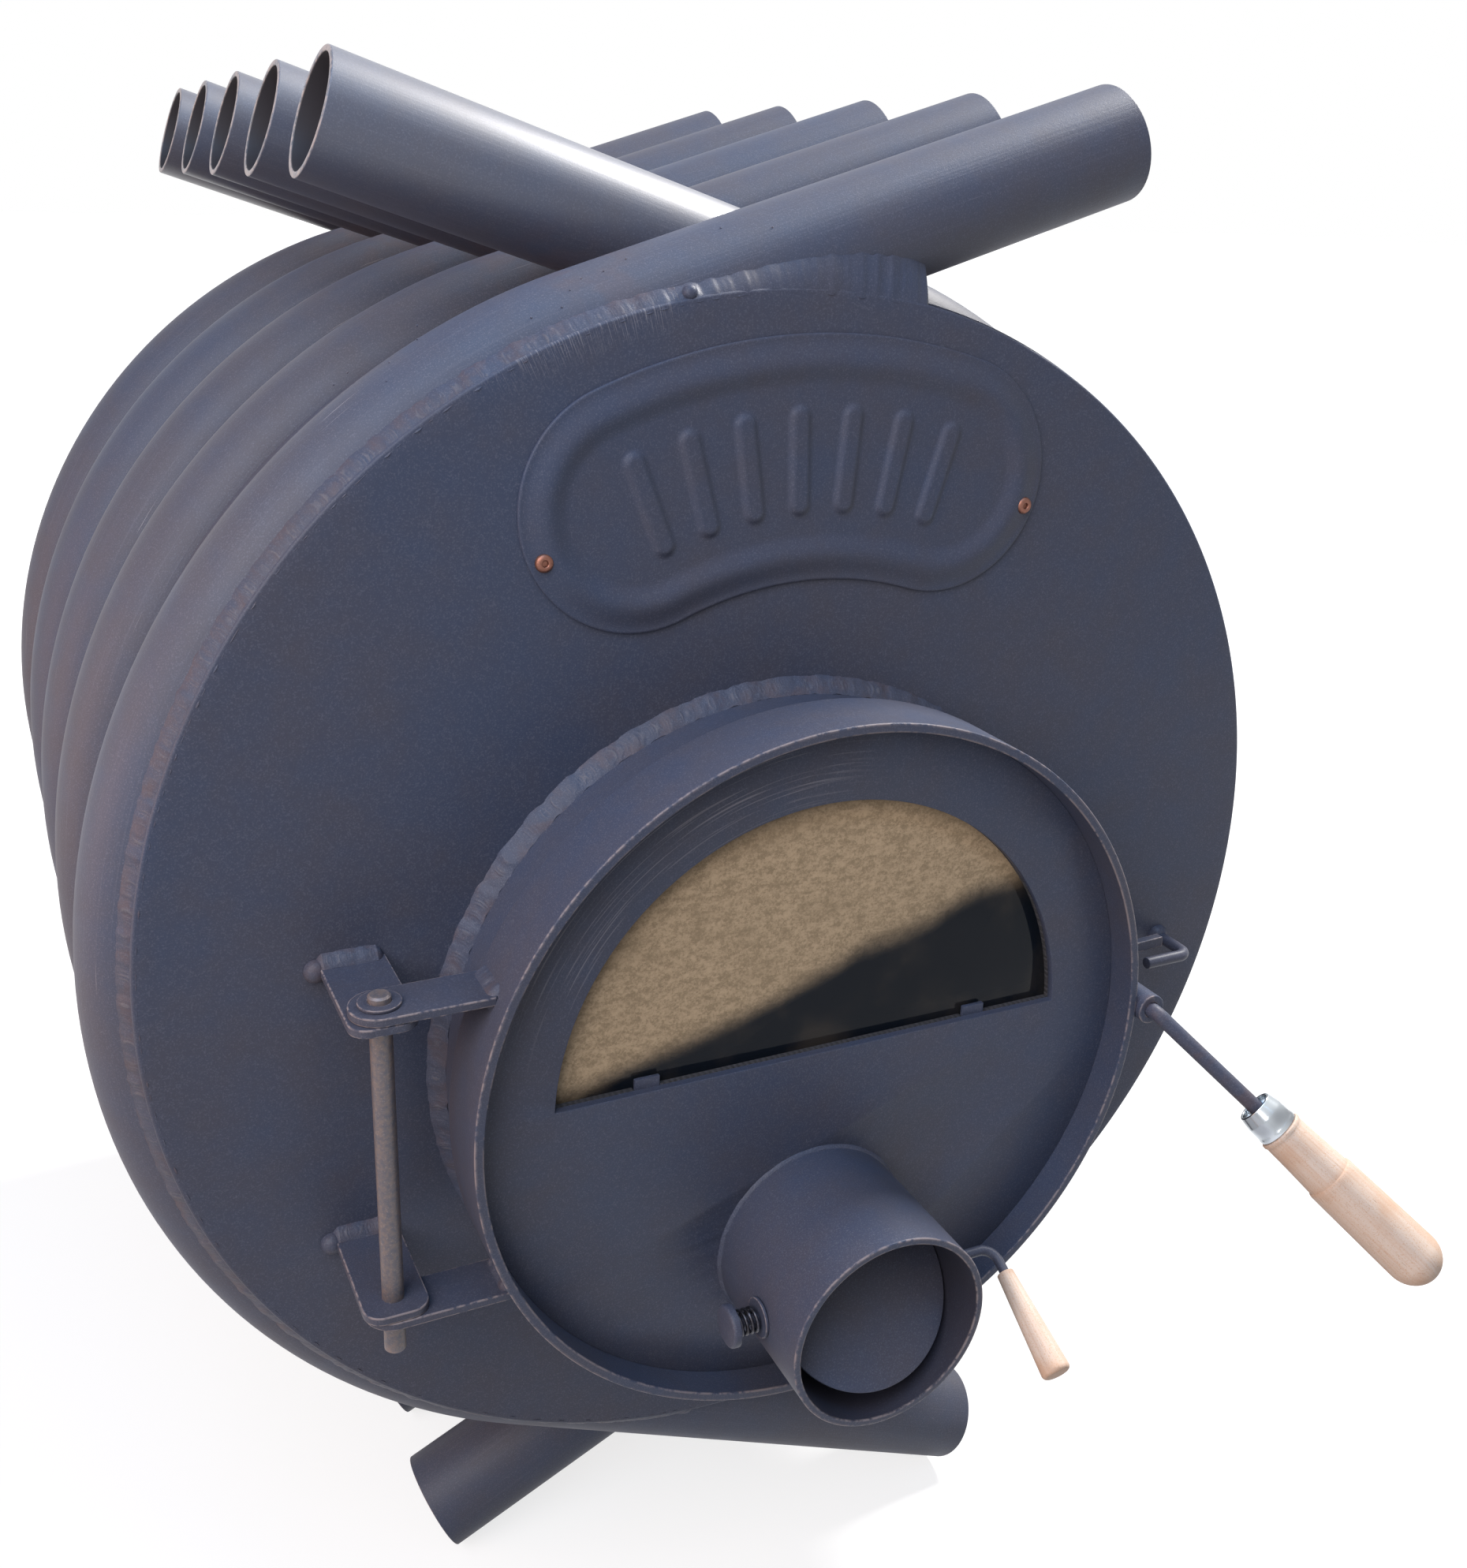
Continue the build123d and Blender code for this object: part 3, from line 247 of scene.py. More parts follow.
class StoveFinish(bpy.types.PropertyGroup):
    """Colours of the finishes."""

    paint_cool: chip("Cool paint", 57, 64, 82, "Cooler shade of the heat-proof paint")
    paint_warm: chip("Warm paint", 66, 65, 74, "Warmer shade of the heat-proof paint")
    paint_dust: chip("Paint grain", 100, 102, 114, "Pale grain in the sprayed paint")
    scuff: chip("Scuffs", 140, 137, 142, "Bright scratches and ground spots")
    worn: chip("Worn edge", 148, 134, 131, "Steel that shows at worn edges")
    # Painted shade: the dark colour of bores and inner faces stands in for the shade inside them.
    bore: chip("Inside", 34, 31, 38, "Thin dark paint inside pipes")
    heat_tint: chip("Heat tint", 92, 68, 58, "Brown tint beside the crossings' welds")
    # Painted highlight on the crests of the weld ripples.
    painted_crest_highlight: chip("Weld crests", 112, 106, 106, "Crests of the weld ripples")
    mill: chip("Mill steel", 92, 88, 86, "Bare steel inside the stove")
    scale: chip("Mill scale", 56, 54, 58, "Dark scale on bare steel")
    pin_bronze: chip("Pin bronze", 110, 96, 90, "Warm spots on the hinge pin")
    pin_steel: chip("Pin steel", 78, 78, 86, "Cool ground of the hinge pin")
    zinc: chip("Zinc", 205, 212, 218, "Zinc plating of the ferrule")
    copper: chip("Copper", 124, 86, 74, "Dull copper of the rivets")
    wood_light: chip("Light wood", 194, 176, 162, "Early wood of the handles")
    wood_dark: chip("Dark wood", 178, 140, 113, "Late wood and pores of the handles")
    # Painted reflection on the pane: the tan of sunlit sandy ground, and its darker flecks.
    painted_reflection: chip("Ash film", 172, 149, 121, "Tan ash film on the pane")
    painted_reflection_dark: chip("Film shade", 134, 116, 93, "Darker flecks of the ash film")
    # Painted reflection: the near-black below the slanting line is shaded ground seen in the glass.
    pane: chip("Clean pane", 24, 28, 34, "Clean glass before the dark firebox")
    rope_light: chip("Rope", 206, 202, 192, "Knitted sealing rope")
    rope_dark: chip("Rope shade", 120, 114, 104, "Shade between the rope's stitches")
    soot: chip("Soot", 30, 29, 31, "Blackened gasket round the pane")
    floor: chip("Floor", 136, 136, 138, "Studio floor")


class Wire:
    """A node's output that does arithmetic: an expression on wires adds its Math nodes."""

    def __init__(self, finish, socket):
        self.finish = finish
        self.socket = socket

    def math(self, operation, *others):
        """Add one Math node that takes this wire and the others in order."""
        inputs = dict(enumerate([self, *others]))
        return self.finish.add("ShaderNodeMath", {"operation": operation}, inputs)

    def __add__(self, other):
        return self.math("ADD", other)

    __radd__ = __add__

    def __mul__(self, other):
        return self.math("MULTIPLY", other)

    __rmul__ = __mul__

    def __sub__(self, other):
        return self.math("SUBTRACT", other)

    def __rsub__(self, other):
        return self.finish.add("ShaderNodeMath", {"operation": "SUBTRACT"}, {0: other, 1: self})

    def __truediv__(self, other):
        return self.math("DIVIDE", other)

    def __pow__(self, other):
        return self.math("POWER", other)

    def ramp(self, start, end):
        """0 below the start and 1 above the end, with a smooth step between them."""
        settings = {"interpolation_type": "SMOOTHSTEP"}
        return self.finish.add("ShaderNodeMapRange", settings, {0: self, 1: start, 2: end})


class Finish:
    """One material, with short ways to add its nodes and to set its surface."""

    def __init__(self, name, **constants):
        self.material = bpy.data.materials.new(name)
        self.material.use_nodes = True
        self.tree = self.material.node_tree
        self.surface = self.tree.nodes["Principled BSDF"]
        self.feed(**constants)

    def add(self, kind, settings=None, inputs=None, output=0):
        """Add a node: its settings come first, then the values or wires of its sockets."""
        node = self.tree.nodes.new(kind)
        for key, value in (settings or {}).items():
            setattr(node, key, value)
        for key, value in (inputs or {}).items():
            self.plug(node.inputs[key], value)
        return Wire(self, node.outputs[output])

    def plug(self, socket, value):
        """Link a wire to a socket, or set the socket's own value."""
        if isinstance(value, Wire):
            self.tree.links.new(value.socket, socket)
        else:
            socket.default_value = value

    def feed(self, **values):
        """Set sockets of the surface shader, named with underscores for spaces."""
        for key, value in values.items():
            self.plug(self.surface.inputs[key.replace("_", " ")], value)

    def place(self):
        """Object coordinates, in metres."""
        return self.add("ShaderNodeTexCoord", output="Object")

    def unrolled(self):
        """The piece's own UV map, in metres: round it first, then along it."""
        return self.add("ShaderNodeUVMap", {"uv_map": "UVMap"})

    def stretched(self, vector, *factors):
        """A vector with each part multiplied by its own factor."""
        return self.add("ShaderNodeVectorMath", {"operation": "MULTIPLY"}, {0: vector, 1: factors})

    def moved(self, vector, *shift):
        """A vector measured from another point."""
        return self.add("ShaderNodeVectorMath", {"operation": "SUBTRACT"}, {0: vector, 1: shift})

    def distance(self, vector):
        """The length of a vector."""
        return self.add("ShaderNodeVectorMath", {"operation": "LENGTH"}, {0: vector}, output="Value")

    def parts(self, vector):
        """The three numbers of a vector."""
        first = self.add("ShaderNodeSeparateXYZ", inputs={0: vector})
        return [Wire(self, socket) for socket in first.socket.node.outputs]

    def joined(self, x, y, z):
        """A vector from three numbers."""
        return self.add("ShaderNodeCombineXYZ", inputs={0: x, 1: y, 2: z})

    def noise(self, vector, scale, detail=2.0, roughness=0.5):
        """Cloudy noise from 0 to 1 with about so many clouds per metre."""
        values = {"Vector": vector, "Scale": scale, "Detail": detail, "Roughness": roughness}
        return self.add("ShaderNodeTexNoise", {}, values)

    def mark(self, name):
        """A mark that the mesh carries, from 0 to 1."""
        return self.add("ShaderNodeAttribute", {"attribute_name": name}, output="Fac")

    def mix(self, factor, first, second):
        """A colour between two colours, which are inputs 6 and 7 of a Mix node set to colours."""
        return self.add("ShaderNodeMix", {"data_type": "RGBA"}, {0: factor, 6: first, 7: second}, output=2)

    def bump(self, height, depth):
        """A normal bent by a height, whose unit is worth so many metres."""
        return self.add("ShaderNodeBump", {}, {"Height": height, "Distance": depth, "Strength": 1.0})


def paint_layers(finish, look):
    """Satin heat-proof paint: clouds of a cool and a warm shade, and a fine pale grain.

    Gives the place that it is worked out from, then the colour, roughness, height and mottle.
    """
    place = finish.place()
    clouds = finish.noise(place, scale=6.0, detail=4.0)
    mottle = finish.noise(place, scale=45.0, detail=4.0, roughness=0.6)
    grain = finish.noise(place, scale=1500.0, detail=1.0)
    fleck = finish.noise(place, scale=420.0, detail=2.0)
    shade = (clouds * 0.6 + mottle * 0.4).ramp(0.28, 0.72)
    colour = finish.mix(shade, look.paint_cool, look.paint_warm)
    dust = grain.ramp(0.48, 0.8) * 0.36 + fleck.ramp(0.6, 0.8) * 0.12
    colour = finish.mix(dust, colour, look.paint_dust)
    rough = 0.36 + mottle * 0.14 + grain * 0.06
    height = grain * 0.6 + fleck * 0.4
    return place, colour, rough, height, mottle


def finish_paint(finish, look, colour, rough, height, mottle, depth=0.10):
    """The last layers of painted pieces: painted shade that darkens the insides, worn rims and the grain's
    bump.
    """
    inside = finish.mark("inside")
    specks = finish.noise(finish.place(), scale=360.0, detail=3.0)
    worn = finish.mark("worn") * (mottle * 0.5 + specks * 0.5).ramp(0.4, 0.56)
    # Painted shade: where the inside mark is 1, the colour goes to the dark inside colour.
    colour = finish.mix(inside, colour, look.bore)
    colour = finish.mix(worn * 0.55, colour, look.worn)
    finish.feed(
        Base_Color=colour,
        Roughness=rough + inside * 0.22,
        Normal=finish.bump(height, depth * MM),
    )
    return finish.material


def satin_paint(look):
    """Plain painted steel, for most pieces."""
    finish = Finish("satin_paint", Specular_IOR_Level=0.2)
    _, *layers = paint_layers(finish, look)
    return finish_paint(finish, look, *layers)


def tube_paint(look):
    """Painted tube: fine draw lines and scratches along it, and a brown tint near the crossings."""
    finish = Finish("tube_paint", Specular_IOR_Level=0.3, Coat_Roughness=0.44)
    place, colour, rough, height, mottle = paint_layers(finish, look)
    along = finish.unrolled()
    draw = finish.noise(finish.stretched(along, 900.0, 9.0, 1.0), scale=1.0, detail=2.0)
    scratch = finish.noise(finish.stretched(along, 1700.0, 16.0, 1.0), scale=1.0, detail=1.0)
    patches = finish.noise(place, scale=14.0, detail=2.0)
    from_crossing = finish.moved(place, -0.3 * RING_R, 0.0, DRUM_Z + 1.045 * RING_R)
    crossing = 1.0 - finish.distance(finish.stretched(from_crossing, 1.0, 0.0, 1.0)).ramp(0.006, 0.03)
    tint = crossing * finish.noise(place, scale=60.0, detail=4.0).ramp(0.4, 0.6)
    colour = finish.mix(tint * 0.15, colour, look.heat_tint)
    finish.feed(Coat_Weight=finish.mark("shine"))
    colour = finish.mix(draw.ramp(0.55, 0.8) * 0.18, colour, look.paint_dust)
    scratches = scratch.ramp(0.74, 0.78) * patches.ramp(0.5, 0.62) * 0.7
    colour = finish.mix(scratches, colour, look.scuff)
    return finish_paint(finish, look, colour, rough + 0.05 + draw * 0.05, height + draw * 0.8, mottle)


def plate_paint(look):
    """Painted end plate: slight clouds, and pale grinding marks along its upper left edge."""
    finish = Finish("plate_paint", Specular_IOR_Level=0.2)
    place, colour, rough, height, mottle = paint_layers(finish, look)
    x, _, z = finish.parts(finish.moved(place, 0.0, 0.0, DRUM_Z))
    radius = finish.distance(finish.joined(x, 0.0, z))
    turn = z.math("ARCTAN2", x)
    zone = radius.ramp(0.291, 0.302) * turn.ramp(1.74, 1.80) * (1.0 - turn.ramp(1.96, 2.10))
    marks = finish.noise(finish.joined(turn * 480.0, radius * 60.0, 0.0), scale=1.0, detail=2.0)
    colour = finish.mix(zone * marks.ramp(0.5, 0.7) * 0.42, colour, look.scuff)
    return finish_paint(finish, look, colour, rough, height, mottle)


def disc_paint(look):
    """Painted door disc: fine turned arcs about its middle, brightest at the upper left."""
    finish = Finish("disc_paint", Specular_IOR_Level=0.2)
    place, colour, rough, height, mottle = paint_layers(finish, look)
    x, _, z = finish.parts(finish.moved(place, 0.0, 0.0, DOOR_Z))
    radius = finish.distance(finish.joined(x, 0.0, z))
    turn = z.math("ARCTAN2", x)
    arcs = finish.noise(finish.joined(radius * 900.0, turn * 2.2, 0.0), scale=1.0, detail=2.0)
    zone = radius.ramp(0.128, 0.150) * turn.ramp(1.35, 1.75) * (1.0 - turn.ramp(2.5, 3.0))
    colour = finish.mix(zone * arcs.ramp(0.56, 0.7) * 0.45, colour, look.scuff)
    return finish_paint(finish, look, colour, rough, height + arcs * zone * 0.6, mottle)


def weld_paint(look):
    """Painted weld: a painted highlight makes the ripple crests paler; browner in the toes."""
    finish = Finish("weld_paint", Specular_IOR_Level=0.2)
    place, colour, rough, height, mottle = paint_layers(finish, look)
    crest = finish.mark("crest")
    spots = finish.noise(place, scale=90.0, detail=3.0)
    # Painted highlight: the ripple crests are lightened.
    colour = finish.mix(crest.ramp(0.3, 0.9) * 0.25, colour, look.painted_crest_highlight)
    colour = finish.mix((1.0 - crest) * spots.ramp(0.45, 0.65) * 0.2, colour, look.heat_tint)
    return finish_paint(finish, look, colour, rough + 0.04, height, mottle, depth=0.16)


def bare_steel(look):
    """Plain rolled steel inside the stove, with scale and faint rolling lines."""
    finish = Finish("bare_steel", Metallic=0.75)
    place = finish.place()
    clouds = finish.noise(place, scale=22.0, detail=5.0, roughness=0.6)
    lines = finish.noise(finish.stretched(place, 18.0, 700.0, 18.0), scale=1.0, detail=2.0)
    finish.feed(
        Base_Color=finish.mix(clouds.ramp(0.4, 0.6), look.mill, look.scale),
        Roughness=0.38 + clouds * 0.3,
        Normal=finish.bump(lines + clouds, 0.05 * MM),
    )
    return finish.material


def pin_metal(look):
    """The hinge pin's oiled steel with warm mottling."""
    finish = Finish("pin_metal", Metallic=0.3)
    place = finish.place()
    mottle = finish.noise(place, scale=420.0, detail=5.0, roughness=0.6)
    spots = finish.noise(place, scale=1100.0, detail=2.0)
    colour = finish.mix(mottle.ramp(0.3, 0.7) * 0.75, look.pin_steel, look.pin_bronze)
    colour = finish.mix(spots.ramp(0.55, 0.75) * 0.25, colour, look.worn)
    colour = finish.mix(finish.mark("worn") * 0.15, colour, look.worn)
    finish.feed(
        Base_Color=colour,
        Roughness=0.42 + mottle * 0.12,
        Normal=finish.bump(spots + mottle, 0.06 * MM),
    )
    return finish.material


def spring_metal(look):
    """Dark oiled spring wire."""
    finish = Finish("spring_metal", Metallic=0.8)
    smear = finish.noise(finish.place(), scale=500.0, detail=2.0)
    finish.feed(
        Base_Color=finish.mix(smear.ramp(0.4, 0.7), look.scale, look.pin_steel),
        Roughness=0.3 + smear * 0.15,
        Normal=finish.bump(smear, 0.03 * MM),
    )
    return finish.material


def zinc_metal(look):
    """Bright plated ferrule with fine turning lines and one or two soft dark painted reflections."""
    finish = Finish("zinc_metal", Metallic=1.0)
    place = finish.place()
    dull_and_painted_reflection = finish.noise(place, scale=55.0, detail=1.0)
    lines = finish.noise(finish.stretched(finish.unrolled(), 30.0, 2600.0, 1.0), scale=1.0, detail=1.0)
    finish.feed(
        # Painted reflection: soft patches darkened toward the pin's steel colour; the same patches are a
        # little rougher.
        Base_Color=finish.mix(dull_and_painted_reflection.ramp(0.35, 0.65) * 0.6, look.zinc, look.pin_steel),
        Roughness=0.16 + dull_and_painted_reflection * 0.08,
        Normal=finish.bump(lines, 0.01 * MM),
    )
    return finish.material


def copper_metal(look):
    """Dull copper with darker spots."""
    finish = Finish("copper_metal", Metallic=0.85)
    spots = finish.noise(finish.place(), scale=600.0, detail=3.0)
    finish.feed(
        Base_Color=finish.mix(spots.ramp(0.5, 0.75) * 0.6, look.copper, look.heat_tint),
        Roughness=0.36 + spots * 0.2,
        Normal=finish.bump(spots, 0.05 * MM),
    )
    return finish.material


def raw_wood(look):
    """Sanded raw wood: faint growth lines, fine speckles and pores, and a little grime."""
    finish = Finish("raw_wood", Specular_IOR_Level=0.25)
    place = finish.place()
    along = finish.unrolled()
    bent = finish.noise(finish.stretched(along, 60.0, 9.0, 1.0), scale=1.0, detail=2.0)
    across, down, _ = finish.parts(along)
    lines = finish.noise(finish.joined(across * 620.0 + bent * 2.2, down * 18.0, 0.0), scale=1.0, detail=3.0)
    pores = finish.noise(finish.stretched(along, 2400.0, 130.0, 1.0), scale=1.0, detail=1.0)
    grime = finish.noise(place, scale=34.0, detail=3.0)
    speckle = finish.noise(place, scale=1500.0, detail=1.0)
    colour = finish.mix(lines.ramp(0.3, 0.75) * 0.4, look.wood_light, look.wood_dark)
    colour = finish.mix(speckle.ramp(0.55, 0.7) * 0.6, colour, look.wood_dark)
    colour = finish.mix(pores.ramp(0.68, 0.76) * 0.4, colour, look.heat_tint)
    colour = finish.mix(grime.ramp(0.42, 0.66) * 0.6, colour, look.wood_dark)
    colour = finish.mix(finish.mark("worn") * 0.35, colour, look.wood_dark)
    finish.feed(
        Base_Color=colour,
        Roughness=0.58 + lines * 0.12,
        Normal=finish.bump(lines * 0.6 + pores.ramp(0.6, 0.8) * -0.5, 0.12 * MM),
    )
    return finish.material


def pane_glass(look):
    """Heat-proof glass: a painted reflection of sunlit sandy ground, tan, over its upper left, and of shaded
    ground, near-black, below a soft slanting line.
    """
    finish = Finish("pane_glass", Specular_IOR_Level=0.1)
    place = finish.place()
    x, _, z = finish.parts(finish.moved(place, 0.0, 0.0, DOOR_Z))
    waver = finish.noise(place, scale=16.0, detail=4.0)
    # Painted reflection: above this soft slanting line the glass shows sunlit ground in tan, below it shaded
    # ground.
    above = z - x * 0.291 - 0.0447 + (waver - 0.5) * 0.022
    painted_reflection = above.ramp(-0.009, 0.009)
    grit = finish.noise(place, scale=820.0, detail=5.0, roughness=0.75)
    lumps = finish.noise(finish.stretched(place, 1.0, 1.0, 1.8), scale=130.0, detail=5.0, roughness=0.7)
    drift = finish.noise(finish.stretched(place, 1.0, 1.0, 2.4), scale=26.0, detail=4.0)
    # The tan of the painted reflection, with darker grit, lumps and drifts like sand.
    tan = finish.mix((grit * 0.5 + lumps * 0.5).ramp(0.4, 0.6), look.painted_reflection_dark, look.painted_reflection)
    tan = finish.mix(drift.ramp(0.5, 0.75) * 0.35, tan, look.painted_reflection_dark)
    haze = finish.noise(place, scale=30.0, detail=4.0).ramp(0.45, 0.75) * 0.10
    colour = finish.mix(painted_reflection, finish.mix(haze, look.pane, look.painted_reflection_dark), tan)
    finish.feed(
        Base_Color=colour,
        Roughness=0.05 + painted_reflection * 0.5,
        Alpha=0.92 + painted_reflection * 0.07,
        Normal=finish.bump(grit * painted_reflection, 0.05 * MM),
    )
    return finish.material


def sealing_rope(look):
    """Knitted glass rope: crossed rows of stitches."""
    finish = Finish("sealing_rope", Roughness=0.9, Sheen_Weight=0.3)
    across, along, _ = finish.parts(finish.unrolled())
    first = ((along * 900.0 + across * 620.0).math("SINE") + 1.0) * 0.5
    second = ((along * 900.0 - across * 620.0).math("SINE") + 1.0) * 0.5
    stitch = first.math("MAXIMUM", second)
    fuzz = finish.noise(finish.place(), scale=900.0, detail=3.0)
    colour = finish.mix(stitch.ramp(0.3, 0.9), look.rope_dark, look.rope_light)
    colour = finish.mix(fuzz.ramp(0.55, 0.8) * 0.4, colour, look.rope_dark)
    finish.feed(Base_Color=colour, Normal=finish.bump(stitch + fuzz * 0.3, 0.4 * MM))
    return finish.material


def flat_gasket(look):
    """Flat woven glass tape, blackened by heat."""
    finish = Finish("flat_gasket", Roughness=0.92)
    x, _, z = finish.parts(finish.place())
    weave = (x * 2100.0).math("SINE") * (z * 2100.0).math("SINE")
    fuzz = finish.noise(finish.place(), scale=800.0, detail=2.0)
    colour = finish.mix((weave * 0.5 + fuzz).ramp(0.1, 0.9), look.soot, look.scale)
    finish.feed(Base_Color=colour, Normal=finish.bump(weave, 0.2 * MM))
    return finish.material


def studio_floor(look):
    """Pale matt floor that looks white and keeps the object's soft shadow."""
    finish = Finish("studio_floor", Roughness=0.9, Base_Color=tuple(look.floor))
    sight = finish.add("ShaderNodeLightPath", output="Is Camera Ray")
    path = sight.socket.node.outputs
    seen = sight + Wire(finish, path["Is Glossy Ray"]) + Wire(finish, path["Is Transmission Ray"])
    far = finish.distance(finish.place()).ramp(0.7, 2.2)
    strength = seen.math("MINIMUM", 1.0) * (0.76 + far * 0.22)
    glow = finish.add("ShaderNodeEmission", inputs={"Color": (1.0, 1.0, 1.0, 1.0), "Strength": strength})
    both = finish.add("ShaderNodeAddShader", inputs={0: Wire(finish, finish.surface.outputs[0]), 1: glow})
    finish.plug(finish.tree.nodes["Material Output"].inputs["Surface"], both)
    return finish.material


MAKERS = {
    "satin_paint": satin_paint,
    "tube_paint": tube_paint,
    "plate_paint": plate_paint,
    "disc_paint": disc_paint,
    "weld_paint": weld_paint,
    "bare_steel": bare_steel,
    "pin_metal": pin_metal,
    "spring_metal": spring_metal,
    "zinc_metal": zinc_metal,
    "copper_metal": copper_metal,
    "raw_wood": raw_wood,
    "pane_glass": pane_glass,
    "sealing_rope": sealing_rope,
    "flat_gasket": flat_gasket,
    "studio_floor": studio_floor,
}


def material(name):
    """The named material, made when it is first asked for."""
    return bpy.data.materials.get(name) or MAKERS[name](bpy.context.scene.stove_finish)


class Grid:
    """Points worked out from two parameters, as rows and columns, and what each of them carries.

    wrap says whether the rows and the columns close on themselves. marks are numbers for each row or point.
    measure gives the UV map: the columns' distances round the piece, then the rows' distances along it.
    """

    def __init__(self, points, wrap=(False, True), marks=None, measure=None):
        self.points = np.asarray(points, float)
        self.wrap = wrap
        self.measure = measure
        shape = self.points.shape[:2]
        self.marks = {}
        for name, values in (marks or {}).items():
            values = np.asarray(values, float)
            self.marks[name] = np.broadcast_to(values[:, None] if values.ndim == 1 else values, shape)

    def faces(self):
        """Corners of each quad, turned to face outwards, with the row and the column of each corner."""
        rows, columns = self.points.shape[:2]
        row = np.arange(rows if self.wrap[0] else rows - 1)
        column = np.arange(columns if self.wrap[1] else columns - 1)
        row, column = [part.ravel() for part in np.meshgrid(row, column, indexing="ij")]
        row = np.stack([row, row + 1, row + 1, row], axis=1)
        column = np.stack([column, column, column + 1, column + 1], axis=1)
        quads = (row % rows) * columns + column % columns
        if self.volume(quads) < 0:
            quads, row, column = quads[:, ::-1], row[:, ::-1], column[:, ::-1]
        return quads, row, column

    def volume(self, quads):
        """Room inside the quads, negative when they face inwards: a sum of thin pyramids from the middle."""
        flat = self.points.reshape(-1, 3)
        a, b, c, d = [flat[quads[:, i]] - flat.mean(axis=0) for i in range(4)]
        return np.sum(a * np.cross(b, c)) + np.sum(a * np.cross(c, d))

    def unrolled(self, row, column):
        """The UV place of each corner."""
        if self.measure is None:
            return np.zeros(row.shape + (2,))
        across, along = [np.asarray(part, float) for part in self.measure]
        return np.stack([across[column], along[row]], axis=-1)


def piece(name, grids, finish, body, nodes=(), crease=34.0):
    """Make one object of its grids, let it ride on its body and stand for its frame nodes."""
    grids = grids if isinstance(grids, list) else [grids]
    points, quads, places = [], [], []
    names = sorted({mark for grid in grids for mark in grid.marks})
    marks = {mark: [] for mark in names}
    start = 0
    for grid in grids:
        corners, row, column = grid.faces()
        quads.append(corners + start)
        places.append(grid.unrolled(row, column).reshape(-1, 2))
        points.append(grid.points.reshape(-1, 3))
        count = len(points[-1])
        start += count
        for mark in names:
            values = grid.marks.get(mark)
            marks[mark].append(np.zeros(count) if values is None else values.ravel())
    mesh = bpy.data.meshes.new(name)
    mesh.from_pydata(np.concatenate(points), [], np.concatenate(quads))
    corner_places = np.concatenate(places).astype(np.float32).ravel()
    mesh.uv_layers.new(name="UVMap").uv.foreach_set("vector", corner_places)
    for mark in names:
        layer = mesh.attributes.new(mark, "FLOAT", "POINT")
        layer.data.foreach_set("value", np.concatenate(marks[mark]).astype(np.float32))
    merge(mesh)
    mesh.shade_smooth()
    mesh.set_sharp_from_angle(angle=math.radians(crease))
    obj = bpy.data.objects.new(name, mesh)
    bpy.context.scene.collection.objects.link(obj)
    mesh.materials.append(material(finish))
    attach(obj, body)
    if nodes:
        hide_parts(*nodes)
    return obj


def painted(name, grids, *nodes, body="root", finish="satin_paint"):
    """A painted steel piece."""
    return piece(name, grids, finish, body, nodes)


def welded(name, grids, body="root", finish="weld_paint"):
    """A painted weld, smooth over its ripples."""
    return piece(name, grids, finish, body, crease=WELD_CREASE)


def merge(mesh, flatten=False):
    """Close seams and poles by merging points that lie together, and join flat neighbours if asked."""
    work = bmesh.new()
    work.from_mesh(mesh)
    bmesh.ops.remove_doubles(work, verts=work.verts, dist=1e-6)
    if flatten:
        bmesh.ops.dissolve_limit(work, angle_limit=math.radians(0.5), verts=work.verts, edges=work.edges)
    work.to_mesh(mesh)
    work.free()


def eased_copy(name, node, finish, body, width):
    """Copy a frame node, join its flat faces, and ease its edges with a narrow bevel."""
    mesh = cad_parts[node].data.copy()
    mesh.name = name
    merge(mesh, flatten=True)
    mesh.materials.clear()
    mesh.materials.append(material(finish))
    mesh.shade_smooth()
    obj = bpy.data.objects.new(name, mesh)
    bpy.context.scene.collection.objects.link(obj)
    bevel = obj.modifiers.new("Eased edges", "BEVEL")
    bevel.width = width
    bevel.segments = 2
    bevel.limit_method = "ANGLE"
    bevel.angle_limit = math.radians(40)
    bevel.harden_normals = True
    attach(obj, body)
    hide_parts(node)
    return obj


def dress(finish, *nodes):
    """Give frame nodes whose shape is right a better material."""
    for node in nodes:
        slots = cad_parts[node].data.materials
        slots.clear()
        slots.append(material(finish))


def unit(vectors):
    """Vectors of length one."""
    return vectors / np.linalg.norm(vectors, axis=-1, keepdims=True)


def run_of(line):
    """Distance from the start of a line of points to each of them."""
    steps = np.linalg.norm(np.diff(line, axis=0), axis=1)
    return np.concatenate([[0.0], np.cumsum(steps)])


def rounded(corners, radius, steps=5, closed=False):
    """Round the corners of a line of points, in a plane or in space.

    The arc at a corner touches both legs at radius / tan(half the corner's angle), and its points turn evenly
    from one contact point to the other about the arc's centre.
    """
    corners = np.asarray(corners, float)
    back = unit(np.roll(corners, 1, axis=0) - corners)
    ahead = unit(np.roll(corners, -1, axis=0) - corners)
    half = np.arccos(np.clip(np.sum(back * ahead, axis=1), -1, 1)) / 2
    radius = np.broadcast_to(np.asarray(radius, float), half.shape)
    centre = corners + unit(back + ahead) * (radius / np.sin(half))[:, None]
    reach = (radius / np.tan(half))[:, None]
    first = corners + back * reach - centre
    last = corners + ahead * reach - centre
    sweep = (math.pi - 2 * half)[:, None, None]
    part = np.linspace(0, 1, steps)[None, :, None]
    turned_ends = np.sin((1 - part) * sweep) * first[:, None] + np.sin(part * sweep) * last[:, None]
    arcs = centre[:, None] + turned_ends / np.sin(sweep)
    if closed:
        return arcs.reshape(-1, corners.shape[1])
    inner = arcs[1:-1].reshape(-1, corners.shape[1])
    return np.concatenate([corners[:1], inner, corners[-1:]])


